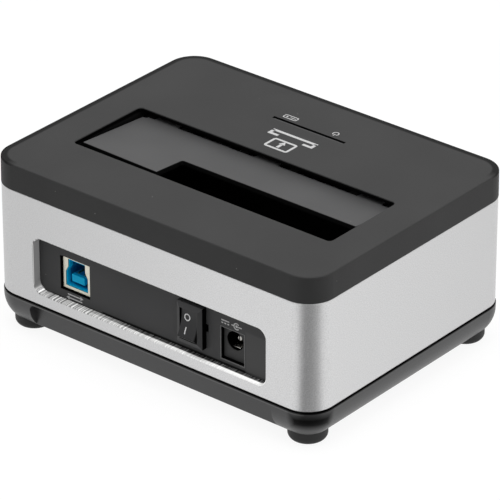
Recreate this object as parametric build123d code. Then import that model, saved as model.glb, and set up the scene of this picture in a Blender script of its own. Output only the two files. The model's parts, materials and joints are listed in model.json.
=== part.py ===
from build123d import *
import os
from math import asin, atan, cos, degrees, radians, sin, sqrt, tan

# Hard drive docking station, in millimetres.
# The origin is on the table under the middle of the body. +Z is up, the front faces -Y,
# and the ports, the rocker switch and the machined window are at the rear, facing +Y.

# Aluminium sleeve
sleeve_height = 38.8
sleeve_wall = 3.2
corner_radius = 9.6
sleeve_edge_break = 0.3

# Window in the sleeve's rear wall
window_end_room = 18.8
window_shift = 0.3
window_lift = 4.2
window_radius = 3.4

# Top cover
cover_height = 9.25
cover_proud = 0.1
cover_draft = 0.1
cover_top = 2.0
cover_side = 2.4
cover_edge_round = 0.5
lip_depth = 3.0
lip_wall = 1.6
lip_gap = 0.15

# Slot for the drives, cut through the cover
slot_length = 107.05
slot_width = 33.45
slot_radius = 1.5
slot_edge_round = 0.25
slot_offset = 0.975
slot_lip = 1.0
slot_relief = 1.0

# Base tray
base_height = 10.6
base_proud = 0.25
base_straight = 2.1
base_round = 10.5
base_wall = 5.2
base_floor = 2.2
seam_height = 0.4
seam_depth = 0.6
base_bottom_round = 1.5
base_lip_height = 2.0
core_share = 0.8
recess_end_room = 16.5
recess_depth = 3.3
recess_rim = 1.2
recess_radius = 2.2

# Rubber feet
foot_radius = 6.5
foot_drop = 3.6
foot_seat = 1.6
foot_round = 2.2
foot_pocket_gap = 0.1
foot_pad_wall = 1.6
foot_pad_height = 2.6
foot_groove_count = 14
foot_groove_width = 0.8
foot_groove_depth = 0.4
foot_groove_inner = 3.2

# Screws that clamp cover, sleeve and base together
screw_radius = 1.45
screw_hole_gap = 0.05
screw_length = 14.0
screw_head_radius = 2.75
screw_head_height = 1.8
screw_head_gap = 0.2
screw_slot_width = 0.9
screw_slot_depth = 0.7
boss_wall = 2.0
boss_gap = 0.1

# Drive bay
bay_gap = 0.3
bay_wall = 1.8
bay_floor = 1.2
bay_floor_gap = 0.5
bay_hinge_gap = 0.5
bay_port_gap = 1.15
parts_room = 33.0
bay_tab_gap = 0.45
bay_tab_length = 5.5
bay_tab_width = 7.0
bay_tab_thickness = 2.4
bay_tab_drop = 8.0
bay_tab_spread = 18.0
bay_boss_radius = 2.6
bay_rib_thickness = 0.8
bay_rib_width = 1.6
bay_rib_pitch = 17.0
small_screw_radius = 1.1
small_screw_head_radius = 2.1
small_screw_head_height = 1.3
small_screw_length = 7.0

# Flap and its hinge
flap_thickness = 1.6
flap_side_gap = 1.7
flap_near_gap = 2.05
flap_skew = 0.8
flap_sink = 2.83
flap_rise = 2.36
flap_radius = 0.3
flap_root_gap = 0.4
notch_length = 73.1
notch_width = 14.92
notch_radius = 0.8
flap_cut_length = 1.5
flap_cut_width = 1.1
flap_edge_round = 0.2
hinge_setback = 2.7
knuckle_radius = 2.2
pin_radius = 1.0
pin_run_gap = 0.06
pin_seat_gap = 0.02
pin_end_gap = 0.5
ear_width = 3.0
ear_shares = (-0.968, -0.68, -0.2, 0.2, 0.68, 0.968)
knuckle_shares = (-0.82, 0.0, 0.82)
knuckle_length = 10.0
flap_rib_height = 1.4
flap_rib_width = 1.2
flap_rib_shares = (-0.62, -0.42, -0.08, 0.3, 0.42, 0.62)
flap_rib_start = 5.0
flap_rib_end_gap = 2.0
spring_wire = 0.25
spring_radius = 1.55
spring_turns = 5.0
spring_pitch = 0.75
spring_share = 0.36
spring_flap_leg = 6.0
spring_pad_width = 3.0
spring_gap = 0.05

# Circuit board
board_end_room = 19.7
board_front_room = 7.4
board_rear_gap = 0.7
board_thickness = 1.6
board_top_above_base = 6.6
standoff_radius = 3.0
standoff_inset = 4.4
board_screw_length = 6.0

# Rear panel
panel_thickness = 2.0
panel_gap = 0.1
panel_overlap = 3.0
island_height = 0.5
island_gap = 0.5
clip_rib_width = 3.0
clip_rib_thickness = 1.7
clip_rib_lift = 5.5
clip_rib_drop = 3.0
clip_rib_inset = 1.8
cover_rib_share = 0.69
cover_rib_width = 8.0

# Data socket
usb_end_room = 15.6
usb_width = 11.6
usb_height = 11.2
usb_length = 17.4
usb_lift = 1.5
usb_setback = 0.9
usb_sheet = 0.4
usb_hole_gap = 0.6
usb_rim = 1.05
usb_shoulder = 1.1
usb_mouth_base = 1.0
usb_mouth_step = 6.1
usb_mouth_slope = 2.0
usb_mouth_top_gap = 0.25
usb_lining = 0.3
usb_top_lining = 0.8
usb_back = 6.0
usb_fit = 0.05
tongue_side = 0.95
tongue_height = 2.6
tongue_lift = 2.8
tongue_setback = 0.7
contact_width = 0.7
contact_thickness = 0.2
contact_front_gap = 1.6
fast_contact_width = 0.4
fast_contact_pitch = 1.1
usb_leg_width = 1.6

# Power inlet
jack_end_room = 15.6
jack_width = 9.0
jack_height = 11.0
jack_length = 14.2
jack_setback = 1.4
jack_axis_lift = 6.95
jack_bore_radius = 3.35
jack_bore_depth = 9.5
jack_pin_radius = 1.05
jack_pin_setback = 2.1
jack_pin_slot = 0.4
jack_pin_slot_depth = 3.0
jack_spring_width = 3.0
jack_spring_thickness = 0.3
jack_spring_length = 8.6
jack_spring_drop = 2.45
jack_spring_arch = 0.55
jack_hole_gap = 0.25
jack_edge_round = 0.3

# Rocker switch
switch_pitch = 16.0
switch_low_gap = 3.35
switch_high_gap = 1.95
switch_width = 10.6
switch_height = 14.9
switch_flange = 1.95
switch_slope = 0.7
switch_side_lip = 1.6
switch_end_lip = 1.75
switch_side_overhang = 0.9
switch_end_overhang = 0.6
switch_body_depth = 10.5
switch_hole_gap = 0.15
switch_edge_round = 0.2
rocker_wall = 0.85
rocker_end_wall = 0.6
rocker_edge_round = 0.25
rocker_gap = 0.2
rocker_pivot_depth = 3.0
rocker_dip = 0.25
rocker_crown = 0.6
rocker_back = 1.8
rocker_tilt = 12.0
rocker_side_gap = 0.15
trunnion_radius = 0.9
trunnion_length = 0.4
trunnion_gap = 0.06
clip_bump = 0.5
clip_height = 2.5
clip_length = 1.6
clip_notch_reach = 0.9
clip_notch_depth = 1.6
terminal_width = 2.8
terminal_thickness = 0.5
terminal_length = 4.6
terminal_pitch = 5.4

# Drive socket on the board
sata_edge_offset = 30.1
sata_wall_offset = 3.5
drive_side_gap = 0.5
sata_base_overhang = 3.5
sata_base_width = 6.8
sata_base_height = 3.0
sata_end_wall = 2.7
sata_width = 4.6
sata_height = 9.6
sata_floor_gap = 0.5
sata_slot_width = 1.3
sata_slot_depth = 5.2
slot_end_gap = 0.86
slot_web = 2.2
sata_pitch = 1.27
sata_contact_width = 0.6
sata_contact_thickness = 0.2
sata_contact_height = 4.4
signal_contacts = 7
power_contacts = 15

# Parts soldered to the board
chip_size = 9.0
chip_height = 1.0
chip_bevel = 0.2
chip_share = -0.24
regulator_length = 5.0
regulator_width = 4.0
regulator_height = 1.5
regulator_share = -0.12
regulator_pitch = 9.0
inductor_size = 7.0
inductor_height = 3.6
inductor_gap = 0.8
inductor_pitch = 9.5
inductor_round = 1.2
capacitor_radius = 3.15
capacitor_height = 7.7
capacitor_pitch = 7.0
capacitor_count = 3
capacitor_round = 0.5
crystal_length = 11.0
crystal_width = 4.4
crystal_height = 3.4
crystal_share = -0.39
header_width = 5.8
header_depth = 4.6
header_height = 5.2
header_pitch = 2.5
header_side_gap = 0.8

# Leads inside the body
lead_radius = 0.6
lead_bend = 4.0
switch_lead_run = 4.0
switch_lead_length = 19.5
plug_length = 7.0
plug_width = 6.4
plug_height = 4.4
led_lead_shift = 3.0

# Indicator lights under the slit in the cover
slit_length = 30.0
slit_width = 1.2
slit_setback = 22.3
guide_gap = 0.1
guide_sink = 0.5
guide_flange = 1.6
guide_flange_height = 1.0
guide_length_down = 6.4
led_height = 1.2
led_length = 3.2
led_width = 1.6
led_gap = 0.4
drive_led_share = 0.35
power_led_share = -0.33
led_board_end_room = 7.0
led_board_width = 8.0
led_board_thickness = 1.2
led_post_radius = 2.0
led_post_inset = 3.0

# One overrun serves every cut that runs past a face
overrun = 1.0

# Along X: the cover's lip, the bay's tabs and its walls stand beside the slot
end_room = (sleeve_wall + lip_gap + lip_wall + bay_tab_gap + bay_tab_length
            + bay_wall + bay_gap)
sleeve_width = slot_length + 2 * end_room + 2 * slot_offset
slot_x = -slot_offset
slot_left = slot_x - slot_length / 2
window_width = sleeve_width - 2 * window_end_room
panel_width = window_width + 2 * panel_overlap
recess_length = sleeve_width - 2 * recess_end_room
board_width = sleeve_width - 2 * board_end_room
usb_x = window_shift + window_width / 2 - usb_end_room
jack_x = window_shift + jack_end_room - window_width / 2
switch_x = jack_x + switch_pitch

# Along Y: the data socket sets the room behind the slot, and the hinge the room before it
bay_front_room = hinge_setback + knuckle_radius + bay_hinge_gap
front_room = sleeve_wall + parts_room + bay_wall + bay_front_room
rear_room = (bay_gap + bay_wall + bay_port_gap + usb_length + usb_setback - island_height
             + panel_gap + sleeve_wall)
sleeve_depth = front_room + slot_width + rear_room
slot_y = (front_room - rear_room) / 2
slot_front = slot_y - slot_width / 2
slot_rear = slot_y + slot_width / 2
slit_x = slot_x
slit_y = slot_front - slit_setback

# Levels
base_z = foot_drop
sleeve_z = base_z + base_height
cover_z = sleeve_z + sleeve_height
top_z = cover_z + cover_height
plate_z = top_z - cover_top
foot_top_z = foot_drop + foot_seat
floor_z = base_z + base_floor
board_z = sleeve_z + board_top_above_base
board_low_z = board_z - board_thickness
window_height = switch_low_gap + switch_height + switch_high_gap
panel_height = window_lift + window_height + panel_overlap
cover_width = sleeve_width + 2 * cover_proud
cover_depth = sleeve_depth + 2 * cover_proud
base_width = sleeve_width + 2 * base_proud
base_depth = sleeve_depth + 2 * base_proud
foot_x = sleeve_width / 2 - corner_radius
foot_y = sleeve_depth / 2 - corner_radius
corners = [(side_x * foot_x, side_y * foot_y) for side_x in (-1, 1) for side_y in (-1, 1)]

# The rear panel stands just behind the sleeve's wall, and its island enters the window
wall_inside_y = sleeve_depth / 2 - sleeve_wall
panel_front_y = wall_inside_y - panel_gap
panel_back_y = panel_front_y - panel_thickness
panel_face_y = panel_front_y + island_height
board_front = board_front_room - wall_inside_y
board_rear_y = panel_back_y - board_rear_gap
clip_rib_y = (panel_back_y - panel_gap - clip_rib_thickness, panel_back_y - panel_gap)

# The bay's inside and the hinge line
bay_half = slot_length / 2 + bay_gap
bay_front = slot_front - bay_front_room
bay_rear = slot_rear + bay_gap
bay_floor_low_z = board_z + bay_floor_gap
bay_floor_z = bay_floor_low_z + bay_floor
parts_y = (board_front + bay_front - bay_wall) / 2
flap_half = slot_length / 2 - flap_side_gap
hinge_y = slot_front - hinge_setback
flap_run = slot_width - flap_near_gap
flap_tilt = degrees(atan(flap_rise / flap_run))
flap_edge_z = top_z - flap_sink
hinge_z = (flap_edge_z - hinge_setback * tan(radians(flap_tilt))
           - knuckle_radius / cos(radians(flap_tilt)))
flap_reach = (flap_run + hinge_setback) / cos(radians(flap_tilt))
notch_reach = flap_reach - (notch_width - flap_near_gap)

spring_bay_leg = bay_hinge_gap + knuckle_radius

# The data socket, the power inlet and the switch
usb_low_z = board_z + usb_lift
usb_front_y = panel_face_y - usb_setback
usb_back_y = usb_front_y - usb_length
usb_mouth_width = usb_width - 2 * usb_rim
usb_mouth_top_width = usb_mouth_width - 2 * usb_shoulder
tongue_width = usb_mouth_top_width - 2 * tongue_side
jack_front_y = panel_face_y - jack_setback
jack_back_y = jack_front_y - jack_length
jack_axis_z = board_z + jack_axis_lift
switch_z = sleeve_z + window_lift + switch_low_gap + switch_height / 2
switch_body_width = switch_width - 2 * switch_side_overhang
switch_body_height = switch_height - 2 * switch_end_overhang
rocker_width = switch_body_width - 2 * rocker_wall - 2 * rocker_side_gap
rocker_reach = switch_body_height / 2 - rocker_end_wall - rocker_gap
bezel_y = panel_face_y + switch_flange + switch_slope
pivot_y = bezel_y - rocker_pivot_depth

# The drives share one side and the rear wall, which sets the place of their socket
sata_x = slot_left + drive_side_gap + sata_edge_offset
sata_y = slot_rear - drive_side_gap - sata_wall_offset
sata_top_z = board_z + sata_height
signal_slot = signal_contacts * sata_pitch + 2 * slot_end_gap
power_slot = power_contacts * sata_pitch + 2 * slot_end_gap
sata_length = signal_slot + slot_web + power_slot + 2 * sata_end_wall
sata_base_length = sata_length + 2 * sata_base_overhang

# Screw seats, and the light board under the slit
boss_radius = screw_radius + boss_wall
seat_z = foot_top_z + screw_head_height + screw_head_gap
boss_foot_z = seat_z + foot_pad_height
post_foot_z = boss_foot_z + boss_gap
bay_tab_top_z = plate_z - bay_tab_drop
led_board_top_z = top_z - guide_sink - guide_length_down - led_gap - led_height
led_board_low_z = led_board_top_z - led_board_thickness
led_board_length = slit_length + 2 * led_board_end_room
led_post_spread = led_board_length - 2 * led_post_inset


def span(middle, size):
    return (middle - size / 2, middle + size / 2)


def block(x, y, z):
    sizes = [high - low for low, high in (x, y, z)]
    middles = [(low + high) / 2 for low, high in (x, y, z)]
    return Pos(*middles) * Box(*sizes)


def slab(width, depth, radius, low, high):
    return Pos(0, 0, low) * extrude(RectangleRounded(width, depth, radius), high - low)


def post(radius, x, y, low, high):
    return Pos(x, y, (low + high) / 2) * Cylinder(radius, high - low)


def bar(radius, x, y, z):
    return Pos((x[0] + x[1]) / 2, y, z) * Rot(0, 90, 0) * Cylinder(radius, x[1] - x[0])


def plug(radius, x, y, z):
    return Pos(x, (y[0] + y[1]) / 2, z) * Rot(90, 0, 0) * Cylinder(radius, y[1] - y[0])


def rear_outline(width, height, radius, z, y):
    face = RectangleRounded(width, height, radius)
    return Pos(window_shift, y[1], z) * Rot(90, 0, 0) * extrude(face, y[1] - y[0])


def body_sleeve():
    outer = slab(sleeve_width, sleeve_depth, corner_radius, sleeve_z, cover_z)
    rims = outer.edges().group_by(Axis.Z)
    outer = chamfer(rims[0] + rims[-1], sleeve_edge_break)
    inner = slab(sleeve_width - 2 * sleeve_wall, sleeve_depth - 2 * sleeve_wall,
                 corner_radius - sleeve_wall, sleeve_z - overrun, cover_z + overrun)
    sleeve = outer - inner
    middle_z = sleeve_z + window_lift + window_height / 2
    through = (wall_inside_y - overrun, sleeve_depth / 2 + overrun)
    sleeve -= rear_outline(window_width, window_height, window_radius, middle_z, through)
    rear_face = sleeve.faces().sort_by(Axis.Y)[-1]
    rim = rear_face.inner_wires()[0].edges()
    return chamfer(rim, sleeve_edge_break)


def cover_shell():
    taper = degrees(atan(cover_draft / cover_height))
    outline = RectangleRounded(cover_width, cover_depth, corner_radius + cover_proud)
    shell = Pos(0, 0, cover_z) * extrude(outline, cover_height, taper=taper)
    shell = fillet(shell.edges().group_by(Axis.Z)[-1], cover_edge_round)
    hollow = slab(cover_width - 2 * cover_side, cover_depth - 2 * cover_side,
                  corner_radius - cover_side, cover_z - overrun, plate_z)
    shell -= hollow
    slot = Pos(slot_x, slot_y, 0) * slab(slot_length, slot_width, slot_radius,
                                         plate_z - overrun, top_z + overrun)
    shell -= slot
    top_face = shell.faces().sort_by(Axis.Z)[-1]
    shell = fillet(top_face.inner_wires()[0].edges(), slot_edge_round)
    relief = slab(slot_length + 2 * slot_relief, slot_width + 2 * slot_relief,
                  slot_radius + slot_relief, plate_z - overrun, top_z - slot_lip)
    return shell - Pos(slot_x, slot_y, 0) * relief


def cover_lip():
    lip_width = sleeve_width - 2 * sleeve_wall - 2 * lip_gap
    lip_length = sleeve_depth - 2 * sleeve_wall - 2 * lip_gap
    radius = corner_radius - sleeve_wall - lip_gap
    outside = slab(lip_width, lip_length, radius, cover_z - lip_depth, plate_z)
    inside = slab(lip_width - 2 * lip_wall, lip_length - 2 * lip_wall, radius - lip_wall,
                  cover_z - lip_depth - overrun, plate_z + overrun)
    return outside - inside


def bay_screw_places():
    reach = bay_half + bay_wall + bay_tab_length / 2
    return [(slot_x + side * reach, slot_y + end * bay_tab_spread / 2)
            for side in (-1, 1) for end in (-1, 1)]


def led_post_places():
    return [(slit_x + side * led_post_spread / 2, slit_y) for side in (-1, 1)]


def top_cover():
    cover = cover_shell() + cover_lip()
    for x, y in corners:
        cover += post(boss_radius, x, y, post_foot_z, plate_z)
        cover -= post(screw_radius + screw_hole_gap, x, y, post_foot_z - overrun,
                      seat_z + screw_length)
    for x, y in bay_screw_places():
        cover += post(bay_boss_radius, x, y, bay_tab_top_z, plate_z)
        cover -= post(small_screw_radius + screw_hole_gap, x, y, bay_tab_top_z - overrun,
                      bay_tab_top_z - bay_tab_thickness + small_screw_length)
    for x, y in led_post_places():
        cover += post(led_post_radius, x, y, led_board_top_z, plate_z)
        cover -= post(small_screw_radius + screw_hole_gap, x, y, led_board_top_z - overrun,
                      led_board_top_z - led_board_thickness + small_screw_length)
    for side in (-1, 1):
        rib_x = side * cover_rib_share * panel_width / 2
        cover += block(span(rib_x, cover_rib_width), clip_rib_y,
                       (sleeve_z + panel_height - clip_rib_drop, plate_z))
    slit = block(span(slit_x, slit_length), span(slit_y, slit_width),
                 (plate_z - overrun, top_z + overrun))
    return cover - slit


def base_profile(path):
    outward = (path % 0).cross(Vector(0, 0, 1))
    sweep_plane = Plane(origin=path @ 0, x_dir=outward, z_dir=path % 0)
    fall = base_height - base_straight
    turn = asin(fall / base_round)
    middle = (-base_round * (1 - cos(turn / 2)), base_straight + base_round * sin(turn / 2))
    low = (-base_round * (1 - cos(turn)), base_height)
    core = -corner_radius * core_share
    side = Line((0, 0), (0, base_straight))
    belly = ThreePointArc((0, base_straight), middle, low)
    rest = Polyline(low, (core, base_height), (core, 0), (0, 0))
    face = make_face(side + belly + rest)
    corner = face.vertices().sort_by_distance(low)[0]
    return sweep_plane * fillet(corner, base_bottom_round)


def base_body():
    half_x = base_width / 2
    half_y = base_depth / 2
    radius = corner_radius + base_proud
    path = FilletPolyline((half_x, -half_y), (half_x, half_y), (-half_x, half_y),
                          (-half_x, -half_y), radius=radius, close=True)
    path = Pos(0, 0, sleeve_z) * path.wire()
    ring = sweep(base_profile(path), path=path)
    core = corner_radius * core_share
    inset = core - seam_depth
    middle = slab(base_width - 2 * inset, base_depth - 2 * inset, radius - inset,
                  base_z, sleeve_z)
    return ring + middle


def side_recess(side):
    length = span(0, recess_length)
    depth = sorted((side * (base_depth / 2 - recess_depth), side * (base_depth / 2 + overrun)))
    cut = block(length, depth, (base_z - overrun, sleeve_z - recess_rim))
    ends = cut.edges().filter_by(Axis.Y).group_by(Axis.Z)[-1]
    return fillet(ends, recess_radius)


def seam_groove():
    outside = slab(base_width + 2 * overrun, base_depth + 2 * overrun,
                   corner_radius + base_proud + overrun, sleeve_z - seam_height,
                   sleeve_z + overrun)
    radius = corner_radius + base_proud - seam_depth
    inside = slab(base_width - 2 * seam_depth, base_depth - 2 * seam_depth, radius,
                  sleeve_z - seam_height - overrun, sleeve_z + 2 * overrun)
    return outside - inside


def standoff_places():
    half = board_width / 2 - standoff_inset
    return [(side * half, y) for side in (-1, 1)
            for y in (board_front + standoff_inset, board_rear_y - standoff_inset)]


def base_cavity(inset, low, high):
    return slab(base_width - 2 * inset, base_depth - 2 * inset,
                corner_radius + base_proud - inset, low, high)


def base_lip():
    width = sleeve_width - 2 * sleeve_wall - 2 * lip_gap
    depth = sleeve_depth - 2 * sleeve_wall - 2 * lip_gap
    outside = slab(width, depth, corner_radius - sleeve_wall - lip_gap,
                   sleeve_z - recess_rim, sleeve_z + base_lip_height)
    window = block(span(0, panel_width + 2 * panel_gap), (0, sleeve_depth / 2),
                   (sleeve_z, sleeve_z + base_lip_height + overrun))
    return outside - window


def base_tray():
    tray = base_body() + base_lip()
    tray -= base_cavity(base_wall, floor_z, sleeve_z + base_lip_height + overrun)
    tray -= side_recess(-1) + side_recess(1)
    tray -= seam_groove()
    for x, y in corners:
        pad = post(foot_radius + foot_pad_wall, x, y, floor_z - base_floor / 4,
                   floor_z + foot_pad_height)
        tray += pad & base_cavity(base_wall - base_floor / 4, floor_z - base_floor / 4,
                                  sleeve_z)
        tray += post(boss_radius, x, y, seat_z, boss_foot_z)
        tray -= post(foot_radius + foot_pocket_gap, x, y, base_z - overrun, foot_top_z)
        tray -= post(screw_head_radius + screw_head_gap, x, y, foot_top_z - overrun, seat_z)
        tray -= post(screw_radius + screw_hole_gap, x, y, seat_z - overrun,
                     boss_foot_z + overrun)
    for x, y in standoff_places():
        tray += post(standoff_radius, x, y, floor_z - base_floor / 2, board_low_z)
        tray -= post(small_screw_radius + screw_hole_gap, x, y,
                     board_z - board_screw_length, board_low_z + overrun)
    for side in (-1, 1):
        rib_x = side * (panel_width / 2 - clip_rib_inset)
        tray += block(span(rib_x, clip_rib_width), clip_rib_y,
                      (floor_z - base_floor / 2, sleeve_z + clip_rib_lift))
    return tray


def foot(x, y):
    body = post(foot_radius, x, y, 0, foot_top_z)
    body = fillet(body.edges().group_by(Axis.Z)[0], foot_round)
    for turn in range(foot_groove_count):
        groove = block((foot_groove_inner, foot_radius + overrun), span(0, foot_groove_width),
                       (-overrun, foot_groove_depth))
        body -= Pos(x, y, 0) * Rot(0, 0, turn * 360 / foot_groove_count) * groove
    return body


def screw(x, y, under_head_z, length, radius, head_radius, head_height):
    shank = post(radius, x, y, under_head_z, under_head_z + length)
    head = post(head_radius, x, y, under_head_z - head_height, under_head_z)
    slot_z = (under_head_z - head_height - overrun,
              under_head_z - head_height + screw_slot_depth)
    for turn in (0, 90):
        slot = block(span(0, head_radius * sqrt(2)), span(0, screw_slot_width), slot_z)
        head -= Pos(x, y, 0) * Rot(0, 0, turn) * slot
    return shank + head


def small_screws(places, under_head_z, length):
    return [screw(x, y, under_head_z, length, small_screw_radius, small_screw_head_radius,
                  small_screw_head_height) for x, y in places]


def case_screws():
    return [screw(x, y, seat_z, screw_length - overrun, screw_radius, screw_head_radius,
                  screw_head_height) for x, y in corners]


def board_screws():
    length = board_screw_length - overrun
    screws = []
    for x, y in standoff_places():
        upward = screw(x, y, 0, length, small_screw_radius, small_screw_head_radius,
                       small_screw_head_height)
        screws.append(Pos(0, 0, board_z) * mirror(upward, about=Plane.XY))
    return screws


def main_board():
    board = block(span(0, board_width), (board_front, board_rear_y), (board_low_z, board_z))
    for x, y in standoff_places():
        board -= post(small_screw_radius + screw_hole_gap, x, y, board_low_z - overrun,
                      board_z + overrun)
    return board


def hinge_ears():
    ears = []
    for share in ear_shares:
        x = span(slot_x + share * flap_half, ear_width)
        arm = block(x, (bay_front - bay_wall / 2, hinge_y), span(hinge_z, 2 * knuckle_radius))
        ears.append(arm + bar(knuckle_radius, x, hinge_y, hinge_z))
    return ears


def drive_bay():
    x = span(slot_x, 2 * bay_half)
    outer_x = (x[0] - bay_wall, x[1] + bay_wall)
    y = (bay_front, bay_rear)
    outer_y = (y[0] - bay_wall, y[1] + bay_wall)
    bay = block(outer_x, outer_y, (bay_floor_low_z, plate_z))
    bay -= block(x, y, (bay_floor_z, plate_z + overrun))
    bay -= block(span(sata_x, sata_base_length + 2 * sata_floor_gap),
                 span(sata_y, sata_base_width + 2 * sata_floor_gap),
                 (bay_floor_low_z - overrun, bay_floor_z + overrun))
    for ear in hinge_ears():
        bay += ear
    bay -= bar(pin_radius + pin_seat_gap, (x[0] + bay_gap, x[1] - bay_gap), hinge_y, hinge_z)
    for side, wall in ((1, x[0]), (-1, x[1])):
        for end in (0, 1):
            rib_x = sorted((wall - side * bay_wall / 2, wall + side * bay_rib_thickness))
            rib_y = span(slot_y + (end - 1 / 2) * bay_rib_pitch, bay_rib_width)
            bay += block(rib_x, rib_y, (bay_floor_z - bay_floor / 2, hinge_z - knuckle_radius))
    tab_z = (bay_tab_top_z - bay_tab_thickness, bay_tab_top_z)
    for tab_x, tab_y in bay_screw_places():
        wall_x = outer_x[0] if tab_x < slot_x else outer_x[1]
        inward = bay_wall / 2 if tab_x < slot_x else -bay_wall / 2
        far_x = 2 * tab_x - wall_x
        tab = block(sorted((wall_x + inward, far_x)), span(tab_y, bay_tab_width), tab_z)
        bay += tab
        bay -= post(small_screw_radius + screw_hole_gap, tab_x, tab_y, tab_z[0] - overrun,
                    tab_z[1] + overrun)
    return bay


def flap_outline():
    notch_x = flap_half - (slot_length - notch_length - flap_side_gap)
    root = knuckle_radius + flap_root_gap
    cut_x = flap_half - flap_cut_length
    cut_y = root + flap_cut_width
    points = [(-flap_half, root), (cut_x, root), (cut_x, cut_y), (flap_half, cut_y),
              (flap_half, flap_reach - flap_skew), (notch_x, flap_reach),
              (notch_x, notch_reach), (-flap_half, notch_reach)]
    face = make_face(Polyline(*points, close=True))
    inner = face.vertices().sort_by_distance((notch_x, notch_reach, 0))[0]
    face = fillet(inner, notch_radius)
    outer = face.vertices().filter_by(lambda vertex: is_flap_corner(vertex, root))
    return fillet(outer, flap_radius)


def is_flap_corner(vertex, root):
    at_root = vertex.Y < root + flap_radius
    at_notch = abs(vertex.X - flap_half + slot_length - notch_length - flap_side_gap) < 2 * notch_radius
    return not at_root and not (at_notch and vertex.Y < notch_reach + 2 * notch_radius)


def flap_flat():
    low = knuckle_radius - flap_thickness
    flap = Pos(0, 0, low) * extrude(flap_outline(), flap_thickness)
    flap = fillet(flap.edges().group_by(Axis.Z)[-1], flap_edge_round)
    for share in knuckle_shares:
        x = span(share * flap_half, knuckle_length)
        flap += bar(knuckle_radius, x, 0, 0)
        flap += block(x, (0, knuckle_radius + flap_root_gap + flap_radius),
                      (low, knuckle_radius))
    for share in flap_rib_shares:
        reach = flap_reach - flap_skew if share * flap_half > flap_half - (slot_length - notch_length) \
            else notch_reach
        flap += block(span(share * flap_half, flap_rib_width),
                      (flap_rib_start, reach - flap_rib_end_gap),
                      (low - flap_rib_height, low + flap_thickness / 2))
    pad_x = spring_share * flap_half + spring_turns * spring_pitch / 2
    pad_low = spring_wire + spring_gap - spring_radius
    flap += block(span(pad_x, spring_pad_width),
                  (knuckle_radius + flap_root_gap + flap_radius, spring_flap_leg),
                  (pad_low, low + flap_thickness / 2))
    return flap - bar(pin_radius + pin_run_gap, span(0, 2 * flap_half + overrun), 0, 0)


def flap_door():
    return Pos(slot_x, hinge_y, hinge_z) * Rot(flap_tilt, 0, 0) * flap_flat()


def flap_hinge_pin():
    return bar(pin_radius, span(slot_x, 2 * (bay_half - pin_end_gap)), hinge_y, hinge_z)


def flap_spring():
    length = spring_turns * spring_pitch
    coil = Helix(pitch=spring_pitch, height=length, radius=spring_radius)
    start, end = coil @ 0, coil @ 1
    bay_leg = Line(start - (coil % 0) * spring_bay_leg, start)
    flap_leg = Line(end, end + (coil % 1) * spring_flap_leg)
    path = Wire([bay_leg.edge(), coil.edge(), flap_leg.edge()])
    section = Plane(origin=path @ 0, z_dir=path % 0) * Circle(spring_wire)
    middle_x = slot_x + spring_share * flap_half
    place = Pos(middle_x - length / 2, hinge_y, hinge_z) * Rot(0, 90, 0)
    return place * sweep(section, path=path)


def rear_panel():
    panel_z = (sleeve_z, sleeve_z + panel_height)
    panel = block(span(0, panel_width), (panel_back_y, panel_front_y), panel_z)
    window_z = sleeve_z + window_lift + window_height / 2
    panel += rear_outline(window_width - 2 * island_gap, window_height - 2 * island_gap,
                          window_radius - island_gap, window_z,
                          (panel_front_y - panel_thickness / 2, panel_face_y))
    through = (panel_back_y - overrun, panel_face_y + overrun)
    panel -= block(span(usb_x, usb_width + 2 * usb_hole_gap), through,
                   (usb_low_z - usb_hole_gap, usb_low_z + usb_height + usb_hole_gap))
    panel -= block(span(jack_x, jack_width + 2 * jack_hole_gap), through,
                   (board_z - jack_hole_gap, board_z + jack_height + jack_hole_gap))
    panel -= block(span(switch_x, switch_body_width + 2 * switch_hole_gap), through,
                   span(switch_z, switch_body_height + 2 * switch_hole_gap))
    panel -= block(span(switch_x, switch_width + 2 * clip_notch_reach),
                   (panel_face_y - clip_notch_depth, panel_face_y + overrun),
                   span(switch_z, clip_height + 2 * switch_hole_gap))
    return panel


def stepped_mouth(shrink, top_gap):
    half = usb_mouth_width / 2 - shrink
    top_half = usb_mouth_top_width / 2 - shrink
    low = usb_mouth_base + shrink
    step = usb_mouth_step
    top = usb_height - top_gap
    points = [(-half, low), (half, low), (half, step), (top_half, step + usb_mouth_slope),
              (top_half, top), (-top_half, top), (-top_half, step + usb_mouth_slope),
              (-half, step)]
    return make_face(Polyline(*points, close=True))


def mouth_cut(shrink, top_gap, y):
    face = stepped_mouth(shrink, top_gap)
    return Pos(usb_x, y[1], usb_low_z) * Rot(90, 0, 0) * extrude(face, y[1] - y[0])


def usb_shell():
    x = span(usb_x, usb_width)
    z = (usb_low_z, usb_low_z + usb_height)
    shell = block(x, (usb_back_y, usb_front_y), z)
    shell -= block((x[0] + usb_sheet, x[1] - usb_sheet),
                   (usb_back_y + usb_sheet, usb_front_y - usb_sheet),
                   (z[0] - overrun, z[1] - usb_sheet))
    floor = block(x, (usb_back_y, usb_front_y), (z[0], z[0] + usb_sheet))
    shell += floor
    shell -= mouth_cut(0, usb_mouth_top_gap, (usb_front_y - 2 * usb_sheet,
                                              usb_front_y + overrun))
    for side in (-1, 1):
        leg_x = sorted((usb_x + side * usb_width / 2,
                        usb_x + side * (usb_width / 2 - usb_sheet)))
        shell += block(leg_x, span((usb_front_y + usb_back_y) / 2, usb_leg_width),
                       (board_z, z[0] + usb_sheet))
    return shell


def usb_insulator():
    sheet = usb_sheet + usb_fit
    x = (usb_x - usb_width / 2 + sheet, usb_x + usb_width / 2 - sheet)
    y = (usb_back_y + sheet, usb_front_y - sheet)
    core = block(x, y, (usb_low_z + sheet, usb_low_z + usb_height - sheet))
    core -= mouth_cut(usb_lining, usb_top_lining, (y[0] + usb_back, y[1] + overrun))
    tongue = block(span(usb_x, tongue_width), (y[0] + usb_back / 2,
                                               usb_front_y - tongue_setback),
                   (usb_low_z + tongue_lift, usb_low_z + tongue_lift + tongue_height))
    return core + tongue


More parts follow.
